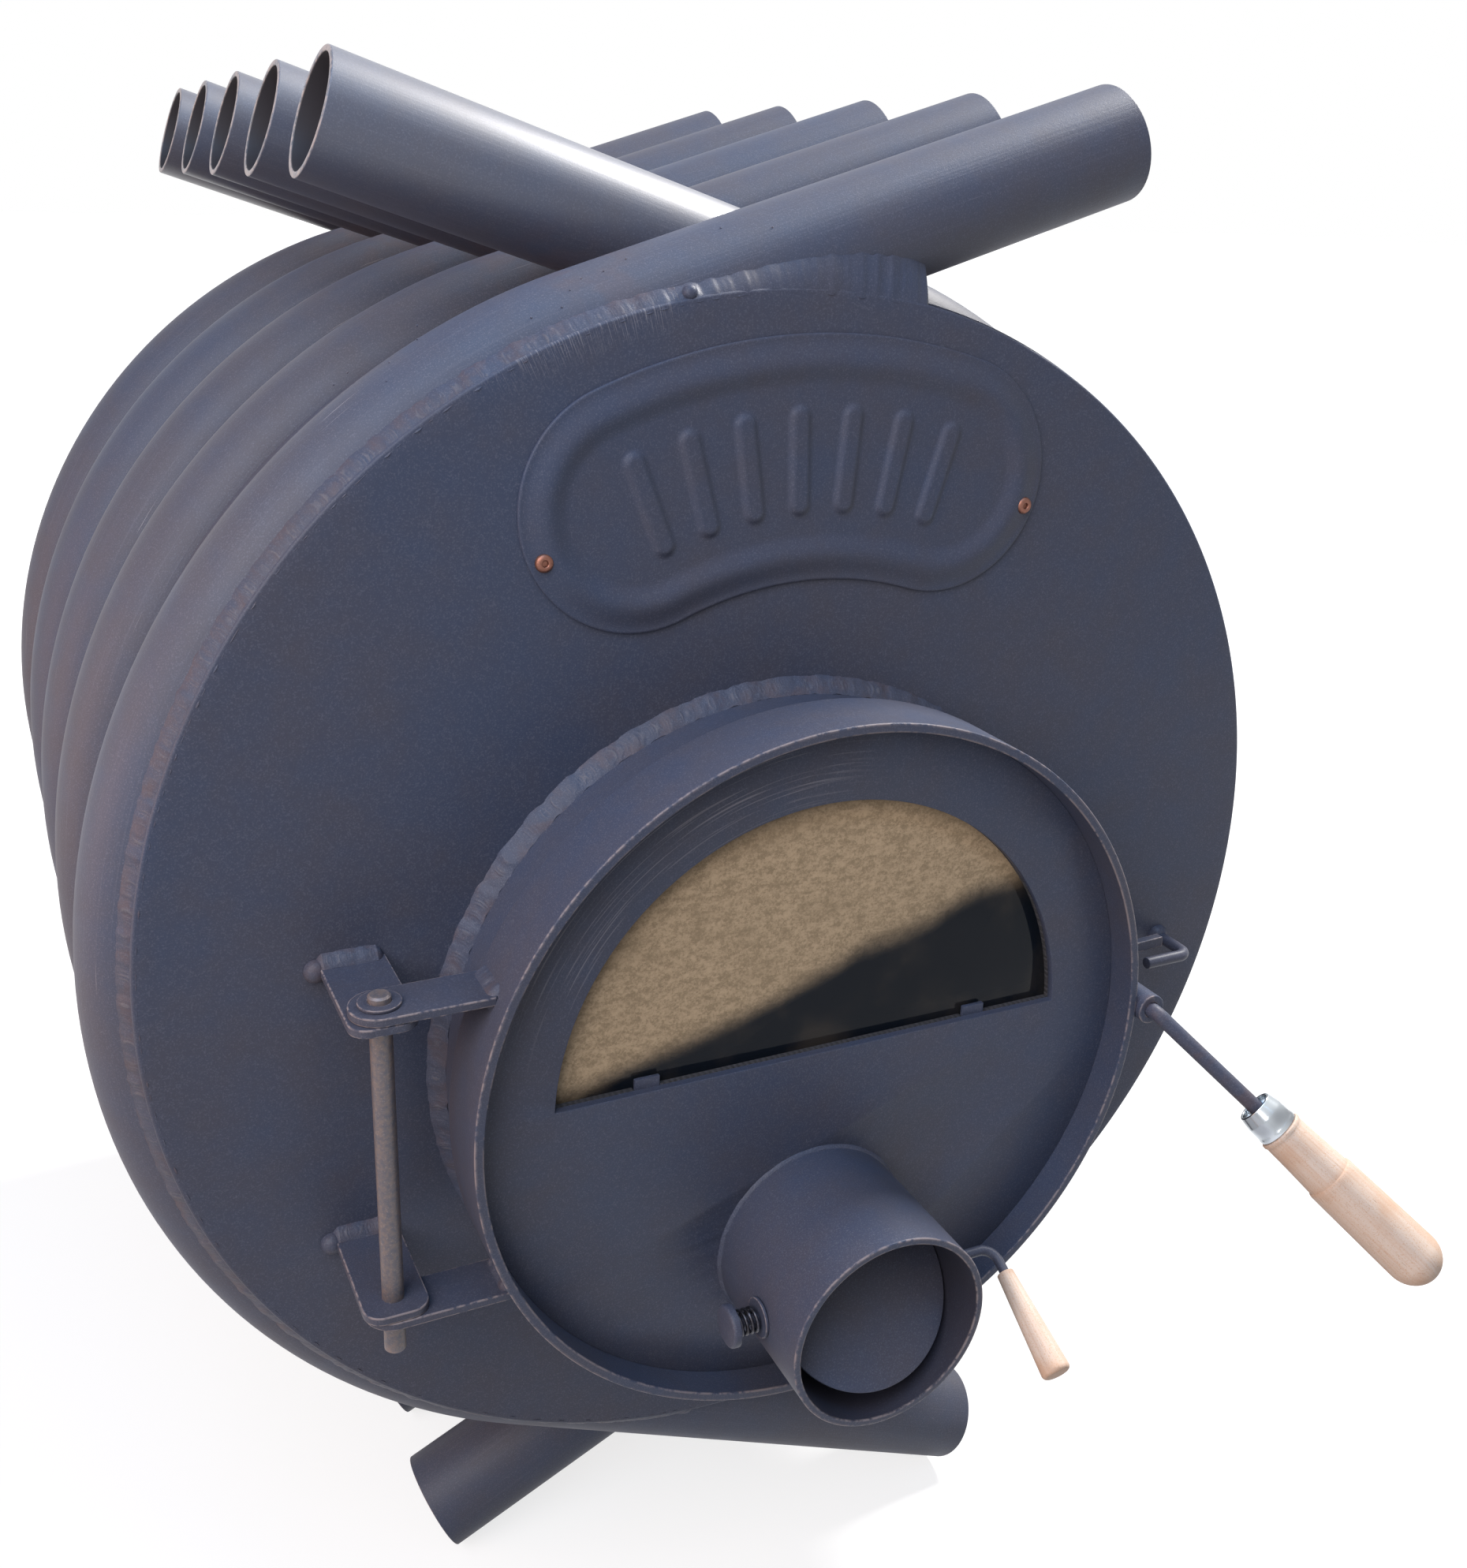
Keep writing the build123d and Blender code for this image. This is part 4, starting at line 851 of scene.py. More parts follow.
def refined(line, step, closed=False, guard=0.0):
    """Add points along a line: one at every step, and one at a guard's length beside each corner."""
    whole = np.concatenate([line, line[:1]]) if closed else line
    run = run_of(whole)
    beside = np.concatenate([run + guard, run - guard])
    beside = beside[(beside > 0) & (beside < run[-1])]
    where = np.sort(np.concatenate([run, beside, np.arange(0, run[-1], step)]))
    where = where[np.append(True, np.diff(where) > 2e-6)]
    fine = np.stack([np.interp(where, run, column) for column in whole.T], axis=1)
    return fine[:-1] if closed else fine


def near(line, corners, reach):
    """1 at the named corners of a line, falling to 0 at the reach from them."""
    gaps = np.linalg.norm(line[:, None] - np.asarray(corners, float)[None], axis=2).min(axis=1)
    return np.clip(1.3 - gaps / reach, 0, 1)


def turned(profile, origin, axis, segments=96, closed=False, marks=None):
    """Turn a profile of radius and height about an axis.

    The point at angle t is origin + height * axis + radius * (cos t * side + sin t * other).
    """
    axis = unit(np.asarray(axis, float))
    side = unit(np.cross(axis, UP if abs(axis[2]) < 0.9 else RIGHT))
    other = np.cross(axis, side)
    t = np.linspace(0, 2 * math.pi, segments, endpoint=False)
    ring = np.cos(t)[:, None] * side + np.sin(t)[:, None] * other
    profile = np.asarray(profile, float)
    points = origin + profile[:, 1, None, None] * axis + profile[:, 0, None, None] * ring
    around = np.append(t, 2 * math.pi) * profile[:, 0].max()
    run = run_of(np.concatenate([profile, profile[:1]]))
    return Grid(points, (closed, True), marks, (around, run))


def pipe(r_out, r_in, start, end, ease, origin, axis, segments=192, step=4 * MM, worn=None):
    """A straight pipe with rounded rims.

    It is a closed profile of outer wall, rim, bore and rim, turned about its axis.
    """
    corners = [(r_out, start), (r_out, end), (r_in, end), (r_in, start)]
    profile = refined(rounded(corners, ease, closed=True), step, closed=True, guard=0.8 * MM)
    spots = [corners[i] for i in (worn or (0, 3))]
    # The inside mark says where the paint darkens the bore with painted shade.
    inside = (profile[:, 0] < r_in + 0.3 * ease).astype(float)
    marks = {"worn": near(profile, spots, ease + 0.1 * MM), "inside": inside}
    return turned(profile, origin, axis, segments, True, marks)


def rod(corners, radius, bend, flat, segments=28, step=2 * MM, ease=0.5 * MM):
    """A round rod along a line that lies in a plane.

    At each place it is a circle of the line's side and the plane's normal. Its two ends are flat, with eased
    edges, and close in a point.
    """
    line = refined(rounded(corners, bend, 12), step)
    run = run_of(line)
    tangent = unit(np.gradient(line, run, axis=0))
    curve = np.linspace(0, math.pi / 2, 4)
    lead = ease * (1 - np.cos(curve))
    trim = radius - ease + ease * np.sin(curve)
    body = run[(run > ease) & (run < run[-1] - ease)]
    where = np.concatenate([[0], lead, body, run[-1] - lead[::-1], [run[-1]]])
    radii = np.concatenate([[0], trim, np.full(len(body), radius), trim[::-1], [0]])
    centre = np.stack([np.interp(where, run, column) for column in line.T], axis=1)
    ahead = unit(np.stack([np.interp(where, run, column) for column in tangent.T], axis=1))
    flat = unit(np.asarray(flat, float))
    side = np.cross(flat, ahead)
    t = np.linspace(0, 2 * math.pi, segments, endpoint=False)
    ring = np.cos(t)[None, :, None] * side[:, None] + np.sin(t)[None, :, None] * flat
    points = centre[:, None] + radii[:, None, None] * ring
    around = np.append(t, 2 * math.pi) * radius
    return Grid(points, (False, True), None, (around, np.append(where, where[-1])))


def slab(outline, hub, thin, ease, origin, axes):
    """A flat plate with eased edges, seen from a hub inside its outline.

    Rows run from the hub over the lower face, round the edge and back to the hub over the upper face. Each
    level is an inset from the outline, a rise and a mark. axes are the directions of the outline's two
    coordinates and of the thickness.
    """
    outline = np.asarray(outline, float)
    ahead = unit(np.roll(outline, -1, axis=0) - np.roll(outline, 1, axis=0))
    outward = np.stack([ahead[:, 1], -ahead[:, 0]], axis=1)
    area = np.sum(outline[:, 0] * np.roll(outline[:, 1], -1) - np.roll(outline[:, 0], -1) * outline[:, 1])
    outward = outward * math.copysign(1.0, area)
    hub = np.asarray(hub, float)
    band = ease + 0.3 * MM
    levels = [(None, 0, 0), (band, 0, 0), (ease, 0, 1)]
    levels += [(0.3 * ease, 0.3 * ease, 1), (0, ease, 1), (0, band, 0)]
    levels += [(inset, thin - rise, mark) for inset, rise, mark in levels[::-1]]
    centre = np.broadcast_to(hub, outline.shape)
    flat = np.stack([centre if inset is None else outline - inset * outward for inset, rise, mark in levels])
    height = np.array([rise for inset, rise, mark in levels])[:, None, None]
    first, second, third = [np.asarray(part, float) for part in axes]
    points = origin + flat[..., :1] * first + flat[..., 1:] * second + height * third
    return Grid(points, (False, True), {"worn": [mark for inset, rise, mark in levels]})


def wobble(run, seed, size):
    """A smooth wandering number about 0: a sum of five sines of random lengths and phases."""
    rng = np.random.default_rng(seed)
    waves = size * rng.uniform(0.6, 2.6, 5)
    phases = rng.uniform(0, 2 * math.pi, 5)
    return np.sin(2 * math.pi * run[..., None] / waves + phases).mean(axis=-1)


def weld(toe_a, toe_b, root, bulge, seed, ripple, height, closed=False, columns=15, lumps=0.5 * MM):
    """A weld bead between two toe lines, seen across as an arc that swells away from its root.

    Across the bead the surface goes straight from toe to toe plus bulge * 4t(1 - t). Along it, each ripple is
    a crescent: a wave whose phase runs ahead in the middle of the bead. Width, swell and spacing wander
    slowly, and the lumps push the bead and its second toe out in uneven scallops.
    """
    taper_run, fade_run = 3 * MM, 12 * MM
    slow, quick, fine_wave, wave_size = 9 * MM, 5 * MM, 4 * MM, 8 * MM
    centre = (toe_a + toe_b) / 2
    run = run_of(np.concatenate([centre, centre[:1]]))
    total = run[-1] if closed else run[-2]
    run = run[:-1]
    fade = np.clip(np.minimum(run, total - run) / fade_run, 0, 1) if closed else 1.0
    wander = wobble(run, seed, slow) * fade
    scallop = wobble(run, seed + 3, slow) + 0.4 * wobble(run, seed + 4, quick)
    scallop = (lumps * fade * scallop)[:, None]
    width = 1 + 0.13 * wander
    t = np.linspace(0, 1, columns)
    span = toe_b - toe_a
    away = centre - root
    aslant = np.sum(away * span, axis=1, keepdims=True) / np.sum(span * span, axis=1, keepdims=True)
    away = unit(away - aslant * span)
    phase = run[:, None] / ripple + 1.1 * (1 - (2 * t - 1) ** 2) + 1.6 * wobble(run, seed + 1, quick)[:, None]
    strength = (0.65 + 0.8 * wobble(run, seed + 5, wave_size))[:, None]
    wave = (0.5 + 0.5 * np.cos(2 * math.pi * phase)) ** 1.6 * strength
    hump = 4 * t * (1 - t)
    fine = 0.5 * wobble(run[:, None] + 0.7 * np.linalg.norm(span, axis=1).mean() * t, seed + 2, fine_wave)
    swell = bulge * (1 + 0.35 * wander)[:, None] * hump + (height * (wave + fine) + scallop) * hump**0.5
    middle_line = toe_a[:, None] + span[:, None] * (0.5 + (t[None, :, None] - 0.5) * width[:, None, None])
    middle_line = middle_line + unit(toe_b - root)[:, None] * (scallop * t**2)[..., None]
    points = middle_line + swell[..., None] * away[:, None]
    if not closed:
        taper = np.sqrt(np.clip(np.minimum(run, total - run) / taper_run, 0, 1))[:, None, None]
        points = root[:, None] + (points - root[:, None]) * taper
    points = np.concatenate([points, root[:, None]], axis=1)
    # The crest mark tells the weld paint where to lighten the ripples with a painted highlight.
    crest = np.concatenate([wave * hump, np.zeros((len(run), 1))], axis=1)
    return Grid(points, (closed, True), {"crest": crest})


def drum_point(radius, turn, y):
    """A point at a distance and an angle about the drum's axis, measured from the right, upwards."""
    return np.stack([radius * np.cos(turn), y + 0 * turn, DRUM_Z + radius * np.sin(turn)], axis=-1)


def tube_y(side, number):
    """Depth of a drum tube."""
    return middle(f"tube_{'left' if side < 0 else 'right'}_{number}", Y)


def tube_runs(sizes):
    """Lengths of a drum tube's upper stub, arc and lower stub, from the tube's box and its slopes."""
    a, b = sizes.top_slope, sizes.bottom_slope
    upper = (high("tube_left_1", X) - TUBE_R * math.sin(a) + RING_R * math.sin(a)) / math.cos(a)
    lower = (DRUM_Z - low("tube_left_1", Z) - (RING_R + TUBE_R) * math.cos(b)) / math.sin(b)
    return upper, RING_R * (math.pi - a - b), lower


def tube_line(sizes, side, run):
    """Centre and outward direction of a drum tube at distances along it, in X and Z about the drum's axis.

    The turn grows along the arc only. On the stubs the centre is moved along the tangent at the arc's end.
    """
    upper, arc, _ = tube_runs(sizes)
    turn = sizes.top_slope + np.clip(run - upper, 0, arc) / RING_R
    outward = np.stack([side * np.sin(turn), np.cos(turn)], axis=-1)
    ahead = np.stack([side * np.cos(turn), -np.sin(turn)], axis=-1)
    stub = np.minimum(run - upper, 0) + np.maximum(run - upper - arc, 0)
    return RING_R * outward + ahead * stub[..., None], outward


def drum_tube(sizes, side, number, segments=72):
    """A closed wall carried along the tube's line: outer face, lower rim, bore and upper rim."""
    total = sum(tube_runs(sizes))
    bore = TUBE_R - sizes.tube_wall
    corners = [(TUBE_R, 0), (TUBE_R, total), (bore, total), (bore, 0)]
    profile = refined(rounded(corners, sizes.rim_ease, closed=True), 9 * MM, closed=True, guard=0.6 * MM)
    radius, run = profile.T
    centre, outward = tube_line(sizes, side, run)
    t = np.linspace(0, 2 * math.pi, segments, endpoint=False)
    lift = radius[:, None] * np.cos(t)
    x = centre[:, 0, None] + outward[:, 0, None] * lift
    z = DRUM_Z + centre[:, 1, None] + outward[:, 1, None] * lift
    y = tube_y(side, number) + radius[:, None] * np.sin(t)
    to_end = np.minimum(run, total - run)
    rim = (to_end < 0.55 * sizes.rim_ease) & (radius > bore + 0.2 * sizes.rim_ease)
    upper = tube_runs(sizes)[0]
    shine = (side > 0) * (1 - smooth(run, 0.6 * upper, upper))
    # The inside mark puts painted shade in the tube's bore.
    marks = {"worn": rim * 1.0, "inside": (radius < bore + 0.3 * sizes.rim_ease) * 1.0, "shine": shine}
    around = np.append(t, 2 * math.pi) * TUBE_R
    shift = number * 0.37 + (side > 0) * 0.19
    along = np.append(run, run[0]) + shift
    return Grid(np.stack([x, y, z], axis=-1), (True, True), marks, (around, along))


def tube_offset(sizes, side, x, z):
    """How far a place, given in X and Z about the drum's axis, lies outside a drum tube's centre line."""
    turn = np.arctan2(side * x, z)
    held = np.clip(turn, sizes.top_slope, math.pi - sizes.bottom_slope)
    held = np.where(turn < -math.pi / 2, math.pi - sizes.bottom_slope, held)
    return side * x * np.sin(held) + z * np.cos(held) - RING_R


def skin_strip(sizes, side, number):
    """A curved strip whose edges follow the tubes on both sides.

    Its edge lies sqrt(tube radius^2 - offset^2) from a tube's middle, a little inside the tube's wall.
    """
    columns, tuck = 9, 0.4 * MM
    neighbours = [number, number + 1] if side < 0 else [number - 1, number]
    neighbours = [n for n in neighbours if n in TUBE_NUMBERS]
    turn = np.linspace(sizes.strip_ends, math.pi - sizes.strip_tail, 200)
    inner = SHELL_OUT - sizes.strip_wall
    section = []
    for radius in (inner, SHELL_OUT):
        x, z = side * radius * np.sin(turn), radius * np.cos(turn)
        cope = np.sqrt(np.clip(TUBE_R**2 - tube_offset(sizes, side, x, z) ** 2, 0, None)) - tuck
        front = tube_y(side, neighbours[0]) + cope
        back = tube_y(side, neighbours[-1]) - cope
        if len(neighbours) == 1 and side > 0:
            front = np.full_like(turn, PLATE_BACK)
        if len(neighbours) == 1 and side < 0:
            back = np.full_like(turn, REAR_FACE)
        part = np.linspace(0, 1, columns)[:, None]
        sheet = np.stack([x + 0 * part, front + (back - front) * part, DRUM_Z + z + 0 * part], axis=-1)
        section.append(sheet if radius == inner else sheet[::-1])
    # The inner face, which gets painted shade.
    inside = np.arange(2 * columns) < columns
    return Grid(close_ends(np.concatenate(section)), (True, False), {"inside": inside})


def close_ends(loop):
    """Add a column at each end of a closed section in which all its points lie on the section's middle."""
    first = np.broadcast_to(loop[:, :1].mean(axis=0, keepdims=True), loop[:, :1].shape)
    last = np.broadcast_to(loop[:, -1:].mean(axis=0, keepdims=True), loop[:, -1:].shape)
    return np.concatenate([first, loop, last], axis=1)


def end_plate(sizes, front, back, hole_z, hole_r, segments=320):
    """A round plate with an off-centre hole.

    It is made of rings whose centre and radius go from the hole's to the rim's.
    """
    ease, rings, edge_steps = sizes.plate_ease, 28, 5
    part = np.linspace(0, 1, rings)
    ring_r = hole_r + (PLATE_R - ease - hole_r) * part
    ring_z = hole_z + (DRUM_Z - hole_z) * part
    curve = np.linspace(0, math.pi / 2, edge_steps)
    edge_r = PLATE_R - ease + ease * np.sin(curve)
    edge_y = front + ease * (1 - np.cos(curve))
    radius = np.concatenate([ring_r, edge_r, edge_r[::-1], ring_r[::-1]])
    centre = np.concatenate([ring_z, np.full(2 * edge_steps, DRUM_Z), ring_z[::-1]])
    face, other_edge = np.full(rings, front), front + back - edge_y[::-1]
    depth = np.concatenate([face, edge_y, other_edge, np.full(rings, back)])
    t = np.linspace(0, 2 * math.pi, segments, endpoint=False)
    points = np.stack([
        radius[:, None] * np.cos(t),
        depth[:, None] + 0 * t,
        centre[:, None] + radius[:, None] * np.sin(t),
    ], axis=-1)
    return Grid(points, (True, True))


def tube_face(sizes, side, number, x, z):
    """Depth of a drum tube's front face at places given in X and Z about the drum's axis."""
    offset = tube_offset(sizes, side, x, z)
    return tube_y(side, number) - np.sqrt(np.clip(TUBE_R**2 - offset**2, 0, None))


def seam_weld(sizes, side, number, arc, plate_y, outward, seed, patch=False):
    """The seam between an end plate's edge and the nearest tube, over an arc about the drum's axis.

    One toe runs on the plate, a little inside its edge, and the other on the tube just outside the edge. As a
    patch, the second toe climbs under the tube's stub, and the ripples are long and uneven.
    """
    start, end = [math.radians(angle) for angle in arc]
    turn = np.linspace(start, end, int(abs(end - start) * PLATE_R / WELD_STEP))
    toe_a = drum_point(PLATE_R - sizes.seam_inset + 0 * turn, turn, plate_y)
    beyond = PLATE_R + sizes.seam_reach + 0 * turn
    if patch:
        beyond = beyond + sizes.patch_reach * smooth(np.abs(turn - max(start, end, key=abs)), 0.05, 0.42)
    toe_b = drum_point(beyond, turn, 0.0)
    face = tube_face(sizes, side, number, toe_b[:, 0], toe_b[:, 2] - DRUM_Z)
    toe_b[:, 1] = face if outward < 0 else 2 * tube_y(side, number) - face
    root = drum_point(PLATE_R - sizes.seam_inset + 0 * turn, turn, plate_y - outward * 4 * MM)
    if patch:
        long_ripple = 2.4 * sizes.ripple
        return weld(toe_a, toe_b, root, 0.8 * MM, seed, long_ripple, height=0.05 * MM, columns=25)
    return weld(toe_a, toe_b, root, 0.7 * MM, seed, sizes.ripple, height=0.15 * MM)


def crossing_weld(sizes, left, right, way, seed):
    """A short lumpy weld where a left and a right tube pass, at the top (way 1) or the bottom (way -1)."""
    middle_y = (tube_y(-1, left) + tube_y(1, right)) / 2
    angle = sizes.top_slope if way > 0 else sizes.bottom_slope
    crest = (RING_R + 0.93 * TUBE_R) / math.cos(angle)
    run = np.linspace(-sizes.crossing_half, sizes.crossing_half, 130)
    groove = np.abs(run) * math.tan(angle) * 0.6
    z = DRUM_Z + way * (crest - sizes.crossing_drop - groove)
    toward = sizes.crossing_gap - 0.2 * groove
    toe_a = np.stack([run, middle_y - toward, z], axis=-1)
    toe_b = np.stack([run, middle_y + toward, z], axis=-1)
    root = np.stack([run, middle_y + 0 * run, z - way * 8 * MM], axis=-1)
    return weld(toe_a, toe_b, root, bulge=1.6 * MM, seed=seed, ripple=3.4 * MM, height=0.6 * MM)


def circle_weld(radius, centre_z, y, leg, outward, seed, ripple, bulge, lumps=0.8 * MM):
    """A closed fillet weld round a pipe on a plate: one toe up the pipe and one out on the plate."""
    steps = int(2 * math.pi * radius / WELD_STEP)
    turn = np.linspace(0, 2 * math.pi, steps, endpoint=False)
    ring = np.stack([np.cos(turn), 0 * turn, np.sin(turn)], axis=-1)
    centre = np.array([0.0, y, centre_z])
    up = np.array([0.0, outward, 0.0])
    toe_a = centre + ring * radius + up * leg
    toe_b = centre + ring * (radius + leg)
    root = centre + ring * radius
    return weld(toe_a, toe_b, root, bulge, seed, ripple, height=0.22 * MM, closed=True, lumps=lumps)


def line_weld(start, end, first, second, leg, seed, ripple=2.2 * MM, bulge=0.5 * MM):
    """A straight fillet weld between two faces.

    Its toes lie a leg away from the line along two directions.
    """
    start, end = np.asarray(start, float), np.asarray(end, float)
    steps = max(int(np.linalg.norm(end - start) / (0.3 * MM)), 12)
    part = np.linspace(0, 1, steps)[:, None]
    root = start + (end - start) * part
    toe_a, toe_b = root + np.asarray(first) * leg, root + np.asarray(second) * leg
    return weld(toe_a, toe_b, root, bulge, seed, ripple, height=0.14 * MM)


def dome(radius, rise, origin, axis, segments=24):
    """A low round lump: part of a circle turned about its axis."""
    curve = np.linspace(0, math.pi / 2, 7)
    profile = np.stack([radius * np.sin(curve), rise * np.cos(curve)], axis=1)
    profile = np.concatenate([profile, [(radius, -0.4 * rise), (0, -0.4 * rise)]])
    return turned(profile, origin, axis, segments)


class StoveOperator:
    """What the stove's operators share."""

    def execute(self, context):
        """Build the operator's pieces with the scene's sizes."""
        self.build(context.scene.stove_sizes)
        return {"FINISHED"}


class STOVE_OT_drum_tubes(StoveOperator, bpy.types.Operator):
    """Bend the ten drum tubes"""

    bl_idname = "stove.drum_tubes"
    bl_label = "Drum Tubes"

    def build(self, sizes):
        for word, side in SIDES:
            for number in TUBE_NUMBERS:
                grid = drum_tube(sizes, side, number)
                painted(f"bent_tube_{word}_{number}", grid, f"tube_{word}_{number}", finish="tube_paint")


class STOVE_OT_skin_strips(StoveOperator, bpy.types.Operator):
    """Roll the skin strips between the tubes"""

    bl_idname = "stove.skin_strips"
    bl_label = "Skin Strips"

    def build(self, sizes):
        for word, side in SIDES:
            for number in TUBE_NUMBERS:
                grid = skin_strip(sizes, side, number)
                painted(f"rolled_strip_{word}_{number}", grid, f"skin_strip_{word}_{number}")


class STOVE_OT_end_plates(StoveOperator, bpy.types.Operator):
    """Cut the front and the rear plate"""

    bl_idname = "stove.end_plates"
    bl_label = "End Plates"

    def build(self, sizes):
        neck = extent("door_neck", X) / 2 - sizes.neck_weld
        front = end_plate(sizes, PLATE_FRONT, PLATE_BACK, DOOR_Z, neck - sizes.neck_wall)
        painted("front_disc", front, "front_plate", finish="plate_paint")
        rear = end_plate(sizes, REAR_FACE, REAR_BACK, FLUE_Z, sizes.flue_radius - sizes.flue_wall)
        painted("rear_disc", rear, "rear_plate", finish="plate_paint")


class STOVE_OT_drum_welds(StoveOperator, bpy.types.Operator):
    """Weld the drum's seams and crossings"""

    bl_idname = "stove.drum_welds"
    bl_label = "Drum Welds"

    def build(self, sizes):
        front = seam_weld(sizes, -1, 1, FRONT_SEAM, PLATE_FRONT, outward=-1, seed=11)
        welded("seam_front_left", front)
        patch = seam_weld(sizes, -1, 1, STUB_PATCH, PLATE_FRONT, outward=-1, seed=17, patch=True)
        welded("stub_patch_front", patch, finish="satin_paint")
        rear = seam_weld(sizes, 1, 5, REAR_SEAM, REAR_BACK, outward=1, seed=23)
        welded("seam_rear_right", rear)
        ways = [(way, left, right) for way in (1, -1) for left in TUBE_NUMBERS for right in (left - 1, left)]
        crossings = [crossing for crossing in ways if crossing[2] in TUBE_NUMBERS]
        for number, (way, left, right) in enumerate(crossings, start=1):
            welded(f"crossing_weld_{number}", crossing_weld(sizes, left, right, way, 40 + number))
        self.spatter(sizes)

    def spatter(self, sizes):
        """One large ball on the seam, and small ones scattered beside it on the first tube."""
        count, large = 14, 3.4 * MM
        rng = np.random.default_rng(4)
        turn = np.radians(np.append(LARGE_BALL, rng.uniform(*SPATTER_ARC, count)))
        radius = np.append(PLATE_R + 2 * MM, PLATE_R + rng.uniform(7, 26, count) * MM)
        size = np.append(large, rng.uniform(0.3, 0.55, count) * MM)
        place = drum_point(radius, turn, 0.0)
        place[:, 1] = tube_face(sizes, -1, 1, place[:, 0], place[:, 2] - DRUM_Z)
        place[0, 1] = PLATE_FRONT + 2.5 * MM
        facing = FORWARD + 0.4 * UP
        balls = [dome(r, 0.9 * r, spot, facing, 28 if r == large else 12) for r, spot in zip(size, place)]
        painted("weld_spatter", balls, finish="weld_paint")


class STOVE_OT_door_neck(StoveOperator, bpy.types.Operator):
    """Roll the door neck and weld it on"""

    bl_idname = "stove.door_neck"
    bl_label = "Door Neck"

    def build(self, sizes):
        radius = extent("door_neck", X) / 2 - sizes.neck_weld
        origin = np.array([0.0, 0.0, DOOR_Z])
        bore = radius - sizes.neck_wall
        neck = pipe(radius, bore, NECK_FRONT, PLATE_FRONT, sizes.rim_ease, origin, -FORWARD, 256)
        painted("neck_pipe", neck, "door_neck")
        leg, ripple = sizes.neck_weld * 0.93, sizes.ripple * 1.25
        bead = circle_weld(radius, DOOR_Z, PLATE_FRONT, leg, -1, 5, ripple, bulge=0.4 * MM, lumps=0.5 * MM)
        welded("neck_bead", bead)


def badge_height(sizes, x, z, spine_gap):
    """Height of the pressed badge above the plate: sheet + rim + ribs.

    The rim rises smoothly from the edge, and falls in a soft step to the field. Each rib is a smooth hill
    about a short radial line.
    """
    edge = sizes.badge_half - spine_gap
    climb = smooth(edge, sizes.badge_edge, sizes.badge_crest)
    rise = climb * (1 - smooth(edge, sizes.badge_crest, sizes.badge_inner))
    height = sizes.badge_sheet + sizes.badge_rise * rise
    half = (sizes.rib_length - sizes.rib_width) / 2
    for number in range(sizes.badge_ribs):
        turn = (number - (sizes.badge_ribs - 1) / 2) * sizes.rib_step
        along = x * math.sin(turn) + z * math.cos(turn) - sizes.badge_spine
        across = x * math.cos(turn) - z * math.sin(turn)
        gap = np.hypot(np.maximum(np.abs(along) - half, 0), across)
        hill = 1 - smooth(gap, sizes.rib_crest, sizes.rib_width / 2 + 0.6 * MM)
        height = height + sizes.rib_rise * hill
    return height


def smooth(values, start, end):
    """0 before the start and 1 after the end, joined by 3s^2 - 2s^3."""
    part = np.clip((values - start) / (end - start), 0, 1)
    return part * part * (3 - 2 * part)


def badge_grid(sizes):
    """The kidney: lines go out square to its middle arc all round, and rows are equal steps along them.

    The whole is then turned by the badge's lean about the middle of its arc, and moved aside.
    """
    sweep, rim_ease, cap_steps = sizes.badge_sweep, 0.4 * MM, 90
    side = np.linspace(-sweep, sweep, 230, endpoint=False)
    cap = np.linspace(0, math.pi, cap_steps, endpoint=False)
    where = np.concatenate([side, np.full(cap_steps, sweep), -side, np.full(cap_steps, -sweep)])
    way = np.concatenate([side, sweep + cap, -side + math.pi, cap + math.pi - sweep])
    gap = np.linspace(0, sizes.badge_half - rim_ease, 64)[:, None]
    x = sizes.badge_spine * np.sin(where) + gap * np.sin(way)
    z = sizes.badge_spine * np.cos(where) + gap * np.cos(way)
    height = badge_height(sizes, x, z, gap)
    rim_x = sizes.badge_spine * np.sin(where) + sizes.badge_half * np.sin(way)
    rim_z = sizes.badge_spine * np.cos(where) + sizes.badge_half * np.cos(way)
    x = np.concatenate([x, rim_x[None], rim_x[None], x[::-1]])
    z = np.concatenate([z, rim_z[None], rim_z[None], z[::-1]])
    edge = [np.full_like(rim_x, sizes.badge_sheet - rim_ease)[None], np.zeros_like(rim_x)[None]]
    height = np.concatenate([height, *edge, np.zeros_like(height)])
    above = z - sizes.badge_spine
    cos, sin = math.cos(sizes.badge_lean), math.sin(sizes.badge_lean)
    turned_x, turned_z = sizes.badge_aside + x * cos - above * sin, x * sin + above * cos
    points = np.stack([turned_x, PLATE_FRONT - height, DRUM_Z + sizes.badge_spine + turned_z], axis=-1)
    return Grid(points, (False, True))


class STOVE_OT_badge(StoveOperator, bpy.types.Operator):
    """Press the kidney badge and rivet it on"""

    bl_idname = "stove.badge"
    bl_label = "Badge"

    def build(self, sizes):
        badge, rivets = badge_grid(sizes), "badge_rivets"
        piece("pressed_badge", badge, "plate_paint", "root", ["badge_plate"], crease=60)
        face = PLATE_FRONT - sizes.badge_sheet - 1.1 * MM
        # Shares of the rivet's radius and heights in millimetres, from its foot over its rim into its hole
        foot = [(0, -0.5), (1, -0.5), (1, 0.5), (0.9, 1.2), (0.7, 1.75), (0.48, 1.95)]
        hole = [(0.38, 1.8), (0.33, 1.4), (0.31, 0.5), (0, 0.4)]
        profile = np.array(foot + hole) * (sizes.rivet, MM)
        drop = extent(rivets, Z) / 2 - sizes.rivet
        heads = []
        for x, rise in ((low(rivets, X) + sizes.rivet, -drop), (high(rivets, X) - sizes.rivet, drop)):
            heads.append(turned(profile, np.array([x, face, middle(rivets, Z) + rise]), FORWARD, 40))
        piece("copper_rivets", heads, "copper_metal", "root", [rivets], crease=50)


